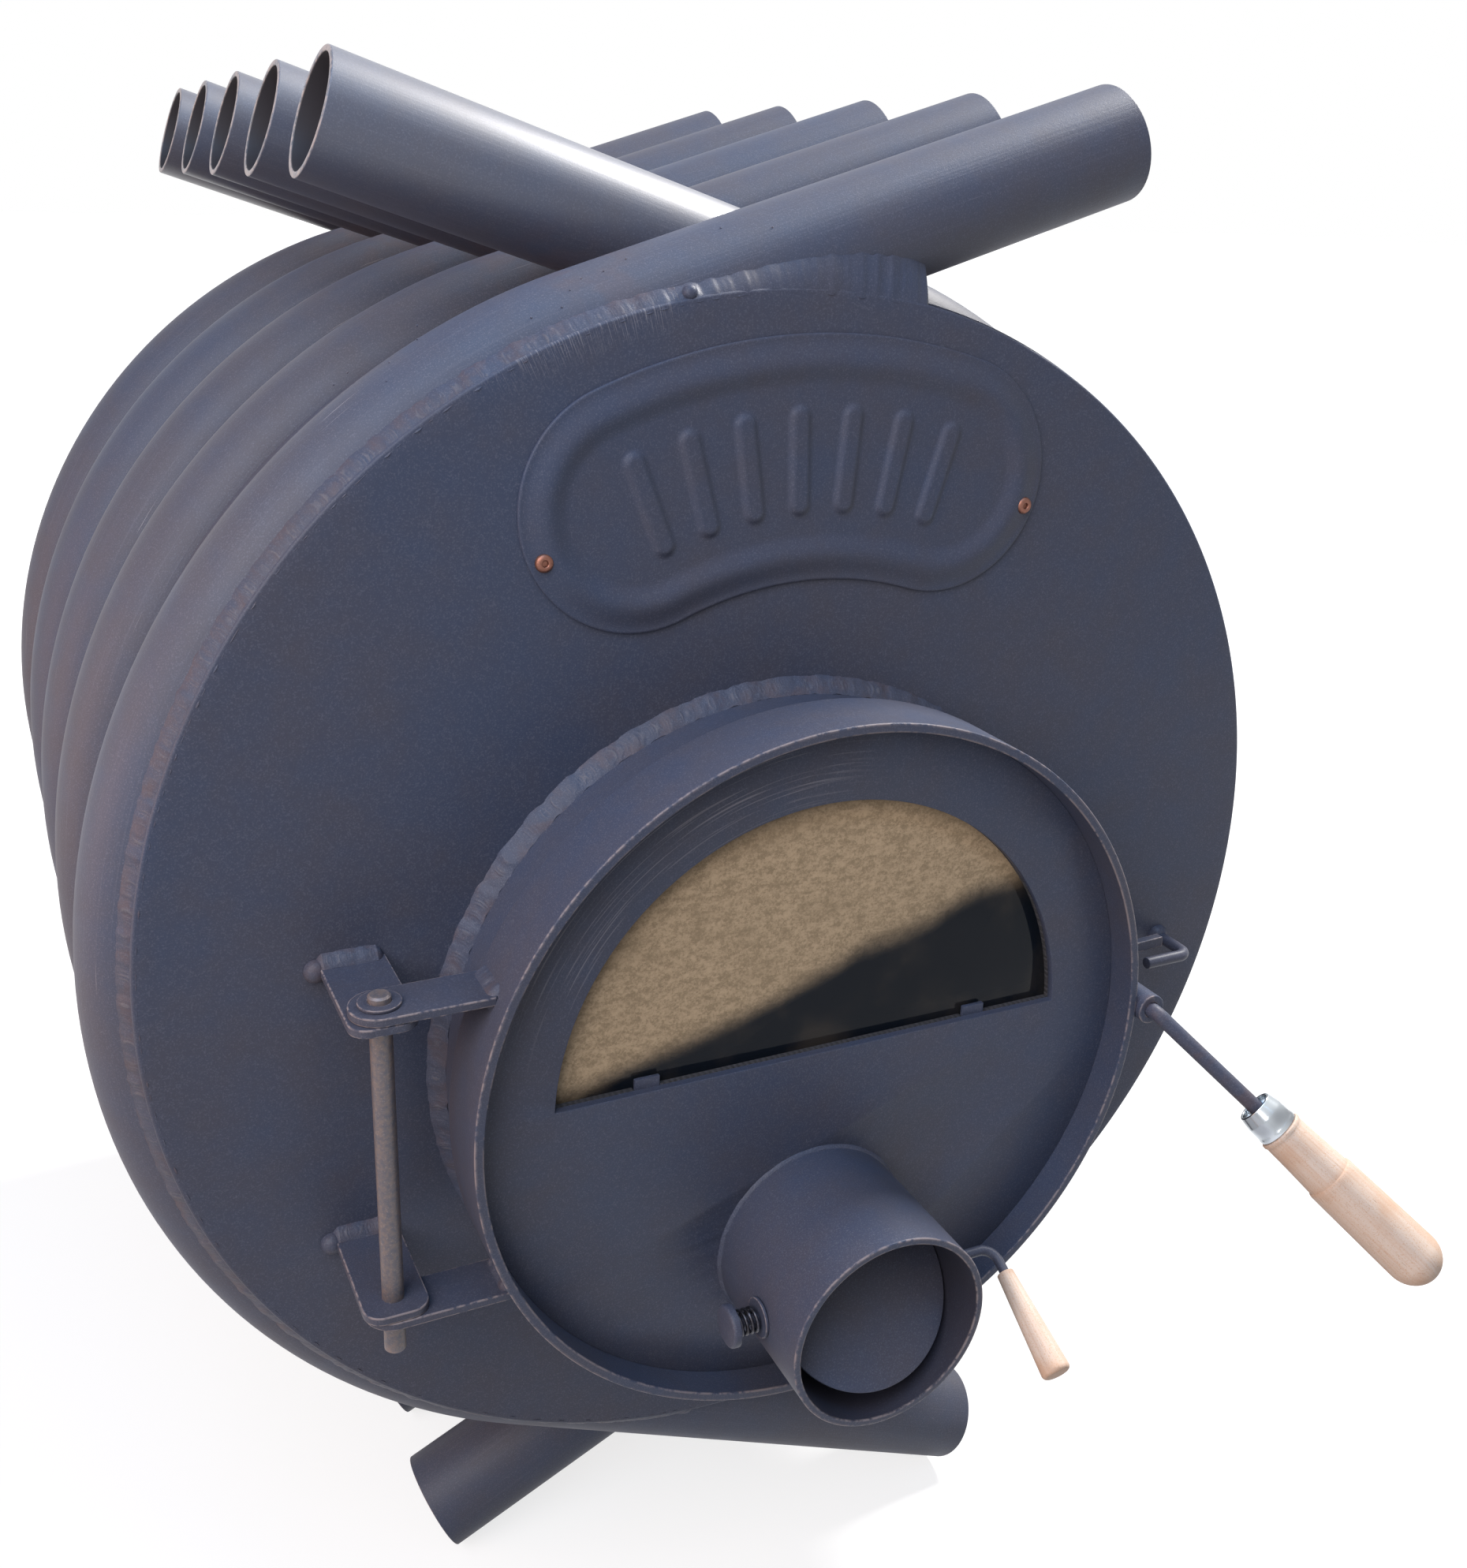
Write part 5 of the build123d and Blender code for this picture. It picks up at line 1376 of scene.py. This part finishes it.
class STOVE_OT_door_shell(StoveOperator, bpy.types.Operator):
    """Roll the door's shell and fit its disc and seal"""

    bl_idname = "stove.door_shell"
    bl_label = "Door Shell"

    def build(self, sizes):
        origin = np.array([0.0, 0.0, DOOR_Z])
        shell = pipe(RING_OUT, RING_IN, RING_FRONT, RING_BACK, sizes.rim_ease, origin, -FORWARD, 288, 3 * MM)
        shell.marks.pop("inside")
        painted("door_shell", shell, "door_ring", body="door")
        eased_copy("door_face", "door_disc", "disc_paint", "door", 0.35 * MM)
        node = "door_inner_ring"
        inner_r = extent(node, X) / 2
        bore = inner_r - sizes.seal_wall
        inner = pipe(inner_r, bore, low(node, Y), high(node, Y), 0.5 * MM, origin, -FORWARD, 224)
        piece("seal_wall", inner, "bare_steel", "door", [node])
        self.rope()

    def rope(self):
        """A ring of knitted rope: a circle carried round the door, with stitches in crossed rows."""
        node = "door_rope_seal"
        thick = extent(node, Y) / 2
        major = extent(node, X) / 2 - thick
        u = np.linspace(0, 2 * math.pi, 1100, endpoint=False)[:, None]
        v = np.linspace(0, 2 * math.pi, 28, endpoint=False)
        stitches, knit = 260, 0.3 * MM
        stitch = np.maximum(np.sin(stitches * u + 3 * v), np.sin(stitches * u - 3 * v))
        radius = thick - 0.35 * MM + knit * stitch
        ring = major + radius * np.cos(v)
        depth = middle(node, Y) + radius * np.sin(v)
        points = np.stack([ring * np.cos(u), depth, DOOR_Z + ring * np.sin(u)], axis=-1)
        measure = (np.append(v, 2 * math.pi) * thick, np.append(u, 2 * math.pi) * major)
        grid = Grid(points, (True, True), None, measure)
        piece("knitted_rope", grid, "sealing_rope", "door", [node])


class STOVE_OT_window(StoveOperator, bpy.types.Operator):
    """Fit the door's pane and what clamps it"""

    bl_idname = "stove.window"
    bl_label = "Window"

    def build(self, sizes):
        eased_copy("pane", "window_glass", "pane_glass", "door", 0.3 * MM)
        eased_copy("pane_gasket", "glass_gasket", "flat_gasket", "door", 0.3 * MM)
        eased_copy("clamp_frame", "glass_frame", "bare_steel", "door", 0.3 * MM)
        eased_copy("pane_clips", "glass_clips", "satin_paint", "door", 0.25 * MM)
        eased_copy("clamp_studs", "glass_fasteners", "bare_steel", "door", 0.2 * MM)


class STOVE_OT_air_inlet(StoveOperator, bpy.types.Operator):
    """Fit the air inlet pipe and its deflector"""

    bl_idname = "stove.air_inlet"
    bl_label = "Air Inlet"

    def build(self, sizes):
        origin = np.array([0.0, 0.0, AIR_Z])
        bore = AIR_R - sizes.air_wall
        tube = pipe(AIR_R, bore, AIR_FRONT, DISC_FRONT, sizes.rim_ease, origin, -FORWARD, 192, 2 * MM)
        # Only part of the painted shade in the inlet's bore.
        tube.marks["inside"] = tube.marks["inside"] * 0.6
        painted("inlet_pipe", tube, "air_tube", body="door")
        leg, ripple = 1.6 * MM, 3 * MM
        bead = circle_weld(AIR_R, AIR_Z, DISC_FRONT, leg, -1, 71, ripple, bulge=0.1 * MM, lumps=0.2 * MM)
        welded("inlet_bead", bead, body="door", finish="satin_paint")
        eased_copy("air_tray", "air_deflector", "bare_steel", "door", 0.3 * MM)


class STOVE_OT_air_damper(StoveOperator, bpy.types.Operator):
    """Fit the air damper with its spring and knob"""

    bl_idname = "stove.air_damper"
    bl_label = "Air Damper"

    def build(self, sizes):
        axle_r = sizes.damper_axle
        centre = np.array([0.0, AIR_AXLE_Y, AIR_Z])
        normal = np.array([0.0, -math.cos(sizes.damper_tilt), math.sin(sizes.damper_tilt)])
        disc_r = extent("air_damper_disc", X) / 2
        thin = sizes.damper_disc
        profile = rounded([(0, 0), (disc_r, 0), (disc_r, thin), (0, thin)], 0.4 * MM)
        disc = turned(refined(profile, 6 * MM), centre + normal * axle_r, normal, 160)
        painted("throttle_disc", disc, "air_damper_disc", body="air_damper")
        self.axle(sizes, centre, axle_r)
        node = "air_damper_washer"
        ring = pipe(extent(node, Y) / 2, axle_r, low(node, X), high(node, X), 0.3 * MM, centre, RIGHT, 64)
        painted("spring_washer", ring, node, body="air_damper")
        self.spring(sizes, centre)

    def axle(self, sizes, centre, axle_r):
        """The axle's rod and button head, and the wooden cone on its crank."""
        head_x = low("air_damper_axle", X)
        head_in = low("air_damper_spring", X)
        corner = np.array([high("air_damper_axle", X) - axle_r, AIR_AXLE_Y, AIR_Z])
        crank = np.array([0.0, -math.cos(sizes.crank_drop), -math.sin(sizes.crank_drop)])
        into_knob, into_head = 24 * MM, 1 * MM
        far = corner + crank * (sizes.knob_start + into_knob)
        start = centre + RIGHT * (head_in - into_head)
        plane = np.cross(RIGHT, crank)
        shaft = rod([start, corner, far], axle_r, sizes.crank_bend, plane, 24, 1.5 * MM)
        head_r, thick = sizes.damper_button, head_in - head_x
        button = rounded([(0, 0), (head_r, 0), (head_r, thick), (0, thick)], [0, 1.5 * MM, 0.3 * MM, 0])
        head = turned(button, centre + RIGHT * head_x, RIGHT, 56)
        painted("crank_axle", [shaft, head], "air_damper_axle", body="air_damper")
        foot = corner + crank * sizes.knob_start
        total = sizes.knob_length
        outline = [(0, 0), (sizes.knob_neck, 0), (sizes.knob_tip, total), (0, total)]
        profile = refined(rounded(outline, [0, 0.8 * MM, sizes.knob_round, 0], 9), 2 * MM)
        grimy = near(profile, [(sizes.knob_neck, 0)], 3 * MM)
        cone = turned(profile, foot, crank, 48, marks={"worn": grimy})
        piece("wooden_knob", cone, "raw_wood", "air_damper", ["air_damper_knob"])

    def spring(self, sizes, centre):
        """A coil: a small circle carried round a helix, on its outward direction and the one square to it."""
        node, wire = "air_damper_spring", sizes.spring_wire
        coil = extent(node, Y) / 2 - wire
        start, end = low(node, X) + wire, high(node, X) - wire
        t = np.linspace(0, 2 * math.pi * sizes.spring_turns, 260)
        outward = np.stack([0 * t, np.cos(t), np.sin(t)], axis=-1)
        line = centre + outward * coil + RIGHT * (start + (end - start) * t[:, None] / t[-1])
        ahead = unit(np.gradient(line, axis=0))
        other = np.cross(ahead, outward)
        v = np.linspace(0, 2 * math.pi, 12, endpoint=False)
        ring = np.cos(v)[None, :, None] * outward[:, None] + np.sin(v)[None, :, None] * other[:, None]
        radii = np.concatenate([[0.0], np.full(len(t), wire), [0.0]])[:, None, None]
        centres = np.concatenate([line[:1], line, line[-1:]])[:, None]
        rings = np.concatenate([ring[:1], ring, ring[-1:]])
        grid = Grid(centres + radii * rings)
        piece("coil_spring", grid, "spring_metal", "air_damper", [node])


def lug_outline(half, nose, root, corner):
    """A strip with two rounded corners at its nose, in X and Y about the hinge pin."""
    corners = [(-half, root), (-half, nose), (half, nose), (half, root)]
    radii = [1.0 * MM, corner, corner, 1.0 * MM]
    return refined(rounded(corners, radii, 10, closed=True), 2 * MM, closed=True)


class STOVE_OT_hinge(StoveOperator, bpy.types.Operator):
    """Fit the hinge lugs, arms, pin and ring"""

    bl_idname = "stove.hinge"
    bl_label = "Hinge"

    def build(self, sizes):
        for word in ("top", "bottom"):
            self.lug(sizes, word)
            self.arm(word)
        self.pin(sizes)

    def lug(self, sizes, word):
        """A lug on the front plate with lumpy welds over and under its root."""
        node = f"hinge_bracket_{word}"
        under = low(node, Z)
        half = extent(node, X) / 2
        outline = lug_outline(half, low(node, Y) - HINGE_Y, PLATE_FRONT - HINGE_Y, sizes.lug_corner)
        origin = np.array([HINGE_X, HINGE_Y, under])
        plate = slab(outline, (0, 0), sizes.lug_plate, 0.5 * MM, origin, (RIGHT, -FORWARD, UP))
        painted(f"hinge_lug_{word}", plate, node)
        grids = []
        left = HINGE_X - half - 1.5 * MM
        for level, way, seed in ((under + sizes.lug_plate, UP, 81), (under, -UP, 83)):
            start = np.array([left, PLATE_FRONT, level])
            end = np.array([HINGE_X + half - 1 * MM, PLATE_FRONT, level])
            leg = sizes.lug_weld if way is UP else 3 * MM
            seed += len(word)
            grids.append(line_weld(start, end, FORWARD, way, leg, seed, ripple=2.4 * MM, bulge=0.7 * MM))
        ball = np.array([left, PLATE_FRONT - 1.0 * MM, under + 0.4 * sizes.lug_plate])
        grids.append(dome(sizes.lug_ball, 4.6 * MM, ball, FORWARD, 32))
        welded(f"lug_welds_{word}", grids)

    def arm(self, word):
        """A flat arm, round at the pin and cut to the door's shell, with a weld along it."""
        node = f"hinge_arm_{word}"
        under, over = low(node, Z), high(node, Z)
        half = extent(node, Y) / 2
        reach = math.sqrt(RING_OUT**2 - (middle(node, Z) - DOOR_Z) ** 2)
        end_x = -reach - HINGE_X + 0.5 * MM
        corners = [(end_x, half), (-half, half), (-half, -half), (end_x, -half)]
        outline = rounded(corners, [1 * MM, 0.999 * half, 0.999 * half, 1 * MM], 20, closed=True)
        outline = refined(outline, 2 * MM, closed=True)
        origin = np.array([HINGE_X, HINGE_Y, under])
        plate = slab(outline, (0, 0), over - under, 0.5 * MM, origin, (RIGHT, -FORWARD, UP))
        painted(f"door_arm_{word}", plate, node, body="door")
        grids = []
        for level, way, seed in ((over, 1, 91), (under, -1, 93)):
            level_reach = math.sqrt(RING_OUT**2 - (level - DOOR_Z) ** 2)
            line_x = -level_reach + 0.2 * MM
            lean = unit(np.array([-level_reach, 0.0, level - DOOR_Z]))
            along = np.array([lean[2], 0.0, -lean[0]]) * way
            start = np.array([line_x, HINGE_Y - half + 1 * MM, level])
            end = np.array([line_x, HINGE_Y + half - 1 * MM, level])
            seed += len(word)
            leg, ripple, bulge = 4 * MM, 2.4 * MM, 0.4 * MM
            grids.append(line_weld(start, end, -RIGHT, along, leg, seed, ripple, bulge))
        welded(f"arm_welds_{word}", grids, body="door")

    def pin(self, sizes):
        """The pin with chamfered ends, and its ring."""
        bottom, top, chamfer = low("hinge_pin", Z), high("hinge_pin", Z), sizes.pin_chamfer
        origin = np.array([HINGE_X, HINGE_Y, 0.0])
        flat_r = PIN_R - chamfer
        edges = [(flat_r, bottom), (PIN_R, bottom + chamfer), (PIN_R, top - chamfer), (flat_r, top)]
        profile = refined(np.array([(0, bottom), *edges, (0, top)]), 3 * MM)
        shaft = turned(profile, origin, UP, 40, marks={"worn": near(profile, edges, 1.5 * MM)})
        piece("pin_shaft", shaft, "pin_metal", "root", ["hinge_pin"])
        node = "hinge_snap_ring"
        ring_r, under, over = extent(node, X) / 2, low(node, Z), high(node, Z)
        ring = pipe(ring_r, PIN_R, under, over, 0.4 * MM, origin, UP, 72, 2 * MM, (1, 2))
        ring.marks.pop("inside")
        piece("pin_ring", ring, "satin_paint", "root", [node])


class STOVE_OT_latch(StoveOperator, bpy.types.Operator):
    """Fit the latch: sleeve, rod, finger, ferrule, grip and catch"""

    bl_idname = "stove.latch"
    bl_label = "Latch"

    def build(self, sizes):
        lean, slant = sizes.latch_lean, sizes.latch_aslant
        aside = math.sin(lean)
        handle = np.array([aside * math.cos(slant), -math.cos(lean), -aside * math.sin(slant)])
        corner = np.array([LATCH_X, low("latch_sleeve", Y) - sizes.latch_ahead, LATCH_Z])
        self.sleeve(sizes)
        start = np.array([LATCH_X, high("latch_rod", Y), LATCH_Z])
        into_grip = 30 * MM
        far = corner + handle * (sizes.latch_shank + sizes.ferrule_length + into_grip)
        plane = np.cross(-FORWARD, handle)
        shaft = rod([start, corner, far], sizes.latch_rod, sizes.crank_bend, plane, 32)
        painted("latch_shaft", shaft, "latch_rod", body="latch", finish="weld_paint")
        self.finger(sizes)
        foot = corner + handle * sizes.latch_shank
        self.ferrule(sizes, foot, handle)
        self.grip(sizes, foot + handle * sizes.ferrule_length, handle)
        self.catch(sizes)

    def sleeve(self, sizes):
        """The rod's bearing pipe, with a weld along the door's shell."""
        outer = extent("latch_sleeve", X) / 2
        origin = np.array([LATCH_X, 0.0, LATCH_Z])
        front, back = low("latch_sleeve", Y), high("latch_sleeve", Y)
        bore = sizes.latch_rod + 0.1 * MM
        tube = pipe(outer, bore, front, back, 0.6 * MM, origin, -FORWARD, 56, 2 * MM)
        painted("latch_bearing", tube, "latch_sleeve", body="door", finish="weld_paint")
        leg, ripple, bulge, inset, aside = 4.2 * MM, 2.4 * MM, 0.4 * MM, 4 * MM, 2.2 * MM
        x = LATCH_X - outer + 0.2 * MM
        grids = []
        for way, seed in ((1, 101), (-1, 103)):
            start = np.array([x, RING_FRONT + inset, LATCH_Z + way * aside])
            end = np.array([x, back - inset, LATCH_Z + way * aside])
            shell = np.array([-0.05, 0.0, way * 1.0])
            pipe_side = unit(np.array([0.75, 0.0, way * 0.8]))
            grids.append(line_weld(start, end, shell, pipe_side, leg, seed, ripple, bulge))
        welded("bearing_welds", grids, body="door")

    def finger(self, sizes):
        """The flat finger: a round eye and a bar, lifted a little."""
        node, lift, half = "latch_finger", sizes.finger_lift, sizes.finger_half
        reach = high(node, X) - LATCH_X
        eye = LATCH_X - low(node, X)
        meet = math.asin(half / eye)
        turn = np.linspace(meet, 2 * math.pi - meet, 48)
        outline = np.stack([eye * np.cos(turn), eye * np.sin(turn)], axis=1)
        bar = rounded([outline[-1], (reach, -half), (reach, half), outline[0]], 0.9 * MM, 6)
        outline = refined(np.concatenate([outline, bar[1:-1]]), 2 * MM, closed=True)
        front, back = low(node, Y), high(node, Y)
        origin = np.array([LATCH_X, front, LATCH_Z])
        along = math.cos(lift) * RIGHT + math.sin(lift) * UP
        across = math.cos(lift) * UP - math.sin(lift) * RIGHT
        plate = slab(outline, (0, 0), back - front, 0.4 * MM, origin, (along, across, -FORWARD))
        painted("flat_finger", plate, node, body="latch")

    def ferrule(self, sizes, foot, handle):
        """A thin cup with a hollow front, a rolled rim and one small punched dimple in its side."""
        neck, rim, total = sizes.ferrule_neck, sizes.ferrule_rim, sizes.ferrule_length
        roll, hollow = 0.4 * MM, 5 * MM
        body = rim - roll
        front = [(sizes.latch_rod, hollow), (neck - 1.6 * MM, hollow), (neck - 1.2 * MM, 0), (neck, 0)]
        wall = [(body, total * 0.4), (body, total), (sizes.latch_rod, total)]
        radii = [0, 0.4 * MM, 0.5 * MM, 0.6 * MM, 5 * MM, 0.4 * MM, 0]
        profile = refined(rounded(front + wall, radii, 8), 0.8 * MM)
        radius, along = profile.T
        rolled = roll * np.exp(-(((along - total * 0.9) / (1.2 * MM)) ** 2)) * (radius > rim * 0.9)
        profile = np.stack([radius + rolled, along], axis=1)
        inside = (along > 0.3 * MM) & (radius < neck - MM)
        cup = turned(profile, foot, handle, 96, marks={"inside": inside})
        spot = foot + handle * total * 0.55
        side = unit(np.cross(handle, UP))
        above = unit(np.cross(side, handle))
        above = above * math.copysign(1.0, above[2])
        facing = unit(above * 0.75 - side * 0.65)
        deep, wide = 0.6 * MM, 1.6 * MM
        gap = np.linalg.norm(cup.points - spot - facing * (rim - 1.5 * MM), axis=2)
        dent = deep * np.exp(-((gap / wide) ** 2))
        cup.points = cup.points - facing * dent[..., None]
        piece("plated_ferrule", cup, "zinc_metal", "latch", ["latch_ferrule"])

    def grip(self, sizes, foot, handle):
        """The wooden grip: lip, waist, small step, belly and round end, turned about the handle's line."""
        waist, belly, total, at = sizes.grip_waist, sizes.grip_belly, sizes.grip_length, sizes.grip_step
        step, lip = 0.8 * MM, 0.6 * MM
        curve = np.linspace(0, math.pi / 2, 16)
        start = [(0, 0), (waist - step - lip, 0), (waist - step, lip), (waist - step, 3 * lip)]
        body = [(waist - 1.3 * MM, 2.8 * MM), (waist - 0.9 * MM, at * 0.5), (waist - 0.1 * MM, at)]
        body += [(waist + 0.6 * step, at + 0.5 * MM), (waist + step, at + 1.6 * MM), (belly, total - belly)]
        cap = np.stack([belly * np.cos(curve), total - belly + belly * np.sin(curve)], axis=1)
        profile = refined(np.concatenate([start, body, cap[1:]]), 2 * MM)
        worn = near(profile, [(waist, at)], 1.5 * MM)
        grid = turned(profile, foot, handle, 80, marks={"worn": worn})
        piece("wooden_grip", grid, "raw_wood", "latch", ["latch_grip"])

    def catch(self, sizes):
        """The catch: a bar out of the plate and bent to the left, with a lump of weld at its foot."""
        node = "latch_catch"
        x = high(node, X) - sizes.catch_weld
        y = low(node, Y) + sizes.catch_rod
        z = middle(node, Z)
        corners = [(x, PLATE_FRONT, z), (x, y, z), (low(node, X), y, z)]
        bar = rod(np.array(corners), sizes.catch_rod, sizes.catch_bend, UP, 28, 1.2 * MM)
        foot = np.array([x, PLATE_FRONT, z])
        lump = dome(sizes.catch_weld, sizes.catch_weld * 0.9, foot, FORWARD, 40)
        spread = lump.points - foot
        bumps = 1 + 0.10 * wobble(np.linalg.norm(spread, axis=2) * 3 + spread[..., 0] * 2, 7, 5 * MM)
        lump.points = foot + spread * bumps[..., None] * 0.95
        painted("catch_bar", bar, node)
        welded("catch_weld", lump)


class STOVE_OT_flue(StoveOperator, bpy.types.Operator):
    """Fit the flue collar and its damper"""

    bl_idname = "stove.flue"
    bl_label = "Flue"

    def build(self, sizes):
        origin = np.array([0.0, 0.0, FLUE_Z])
        radius = sizes.flue_radius
        bore, ease = radius - sizes.flue_wall, sizes.rim_ease
        tube = pipe(radius, bore, REAR_BACK, FLUE_END, ease, origin, -FORWARD, 192, 3 * MM, (1, 2))
        foot_r, stop_r = radius - 0.5 * MM, extent("flue_collar", X) / 2
        curve = np.linspace(0, math.pi, 13)
        bead_r = foot_r + (stop_r - foot_r) * np.sin(curve)
        bead_y = REAR_BACK + sizes.flue_stop + sizes.flue_bead * (0.5 - 0.5 * np.cos(curve))
        bead = turned(np.stack([bead_r, bead_y], axis=1), origin, -FORWARD, 192, closed=True)
        painted("collar_pipe", [tube, bead], "flue_collar")
        leg, ripple = 6 * MM, sizes.ripple * 1.2
        welded("collar_weld", circle_weld(radius, FLUE_Z, REAR_BACK, leg, 1, 61, ripple, bulge=0.8 * MM))
        eased_copy("flue_flap", "flue_damper_disc", "satin_paint", "flue_damper", 0.3 * MM)
        node = "flue_damper_axle"
        axle_r = extent(node, Y) / 2
        start, end = low(node, X), high(node, X) - axle_r
        places = ((start, FLUE_Z), (end, FLUE_Z), (end, low(node, Z)))
        corners = np.array([(x, FLUE_AXLE_Y, z) for x, z in places])
        shaft = rod(corners, axle_r, sizes.flue_bend, FORWARD, 32)
        painted("flue_crank", shaft, node, body="flue_damper")


class STOVE_OT_inside(StoveOperator, bpy.types.Operator):
    """Finish the pieces inside the drum"""

    bl_idname = "stove.inside"
    bl_label = "Inside"

    def build(self, sizes):
        dress("bare_steel", "baffle_front", "baffle_rear", "baffle_rails", "injector_tubes")


def area_light(name, place, size, power, tint, target):
    """A soft square lamp that looks at a point."""
    data = bpy.data.lights.new(name, "AREA")
    data.shape = "RECTANGLE"
    data.size, data.size_y = size
    data.energy = power
    data.color = tint
    lamp = bpy.data.objects.new(name, data)
    bpy.context.scene.collection.objects.link(lamp)
    lamp.location = place
    lamp.rotation_euler = (Vector(target) - Vector(place)).to_track_quat("-Z", "Y").to_euler()
    return lamp


class STOVE_OT_stage(StoveOperator, bpy.types.Operator):
    """Set the floor, the soft light and the camera"""

    bl_idname = "stove.stage"
    bl_label = "Stage"

    def build(self, sizes):
        self.floor()
        self.world()
        for lamp in LAMPS:
            area_light(*lamp, target=(0.0, 0.0, DRUM_Z))
        self.camera()

    def floor(self):
        """A wide pale square under the stove."""
        half = 30.0
        corners = np.array([[(-half, -half), (half, -half)], [(-half, half), (half, half)]])
        points = np.concatenate([corners, np.zeros((2, 2, 1))], axis=-1).reshape(-1, 3)
        mesh = bpy.data.meshes.new("studio_floor")
        mesh.from_pydata(points, [], [(0, 1, 3, 2)])
        mesh.materials.append(material("studio_floor"))
        floor = bpy.data.objects.new("studio_floor", mesh)
        bpy.context.scene.collection.objects.link(floor)

    def world(self):
        """Even studio light, and plain white where the camera or a mirror looks past the floor."""
        world = bpy.data.worlds.new("studio")
        bpy.context.scene.world = world
        world.use_nodes = True
        nodes, links = world.node_tree.nodes, world.node_tree.links
        nodes["Background"].inputs["Color"].default_value = (0.82, 0.90, 1.0, 1.0)
        nodes["Background"].inputs["Strength"].default_value = 0.2
        white = nodes.new("ShaderNodeBackground")
        white.inputs["Strength"].default_value = 1.0
        white.inputs["Color"].default_value = (1.0, 1.0, 1.0, 1.0)
        path = nodes.new("ShaderNodeLightPath")
        factor = path.outputs["Is Camera Ray"]
        for ray in ("Is Glossy Ray", "Is Transmission Ray"):
            either = nodes.new("ShaderNodeMath")
            either.operation = "MAXIMUM"
            links.new(factor, either.inputs[0])
            links.new(path.outputs[ray], either.inputs[1])
            factor = either.outputs[0]
        mix = nodes.new("ShaderNodeMixShader")
        links.new(factor, mix.inputs[0])
        links.new(nodes["Background"].outputs[0], mix.inputs[1])
        links.new(white.outputs[0], mix.inputs[2])
        links.new(mix.outputs[0], nodes["World Output"].inputs["Surface"])
        bpy.context.scene.view_settings.view_transform = "Standard"

    def camera(self):
        """The photograph's view."""
        data = bpy.data.cameras.new("photo_camera")
        data.sensor_fit = "HORIZONTAL"
        data.sensor_width = 36.0
        data.lens = CAMERA_LENS
        data.shift_x, data.shift_y = CAMERA_SHIFT
        data.clip_end = 100.0
        camera = bpy.data.objects.new("photo_camera", data)
        bpy.context.scene.collection.objects.link(camera)
        turn = Matrix((CAMERA_RIGHT, CAMERA_ABOVE, -Vector(CAMERA_AHEAD))).transposed().to_4x4()
        camera.matrix_world = Matrix.Translation(CAMERA_PLACE) @ turn
        bpy.context.scene.camera = camera


BUILD_ORDER = (
    STOVE_OT_drum_tubes,
    STOVE_OT_skin_strips,
    STOVE_OT_end_plates,
    STOVE_OT_drum_welds,
    STOVE_OT_door_neck,
    STOVE_OT_badge,
    STOVE_OT_door_shell,
    STOVE_OT_window,
    STOVE_OT_air_inlet,
    STOVE_OT_air_damper,
    STOVE_OT_hinge,
    STOVE_OT_latch,
    STOVE_OT_flue,
    STOVE_OT_inside,
    STOVE_OT_stage,
)


class STOVE_PT_build(bpy.types.Panel):
    """Buttons and sizes of the stove"""

    bl_idname = "STOVE_PT_build"
    bl_label = "Hot Air Stove"
    bl_space_type = "VIEW_3D"
    bl_region_type = "UI"
    bl_category = "Stove"

    def draw(self, context):
        for operator in BUILD_ORDER:
            self.layout.operator(operator.bl_idname)
        for group in (context.scene.stove_sizes, context.scene.stove_finish):
            box = self.layout.box()
            for name in group.__annotations__:
                box.prop(group, name)


CLASSES = (StoveSizes, StoveFinish, *BUILD_ORDER, STOVE_PT_build)


def register():
    for item in CLASSES:
        bpy.utils.register_class(item)
    bpy.types.Scene.stove_sizes = PointerProperty(type=StoveSizes)
    bpy.types.Scene.stove_finish = PointerProperty(type=StoveFinish)


def unregister():
    del bpy.types.Scene.stove_finish
    del bpy.types.Scene.stove_sizes
    for item in reversed(CLASSES):
        bpy.utils.unregister_class(item)


def main():
    register()
    for operator in BUILD_ORDER:
        group, name = operator.bl_idname.split(".")
        getattr(getattr(bpy.ops, group), name)()


if __name__ == "__main__":
    main()
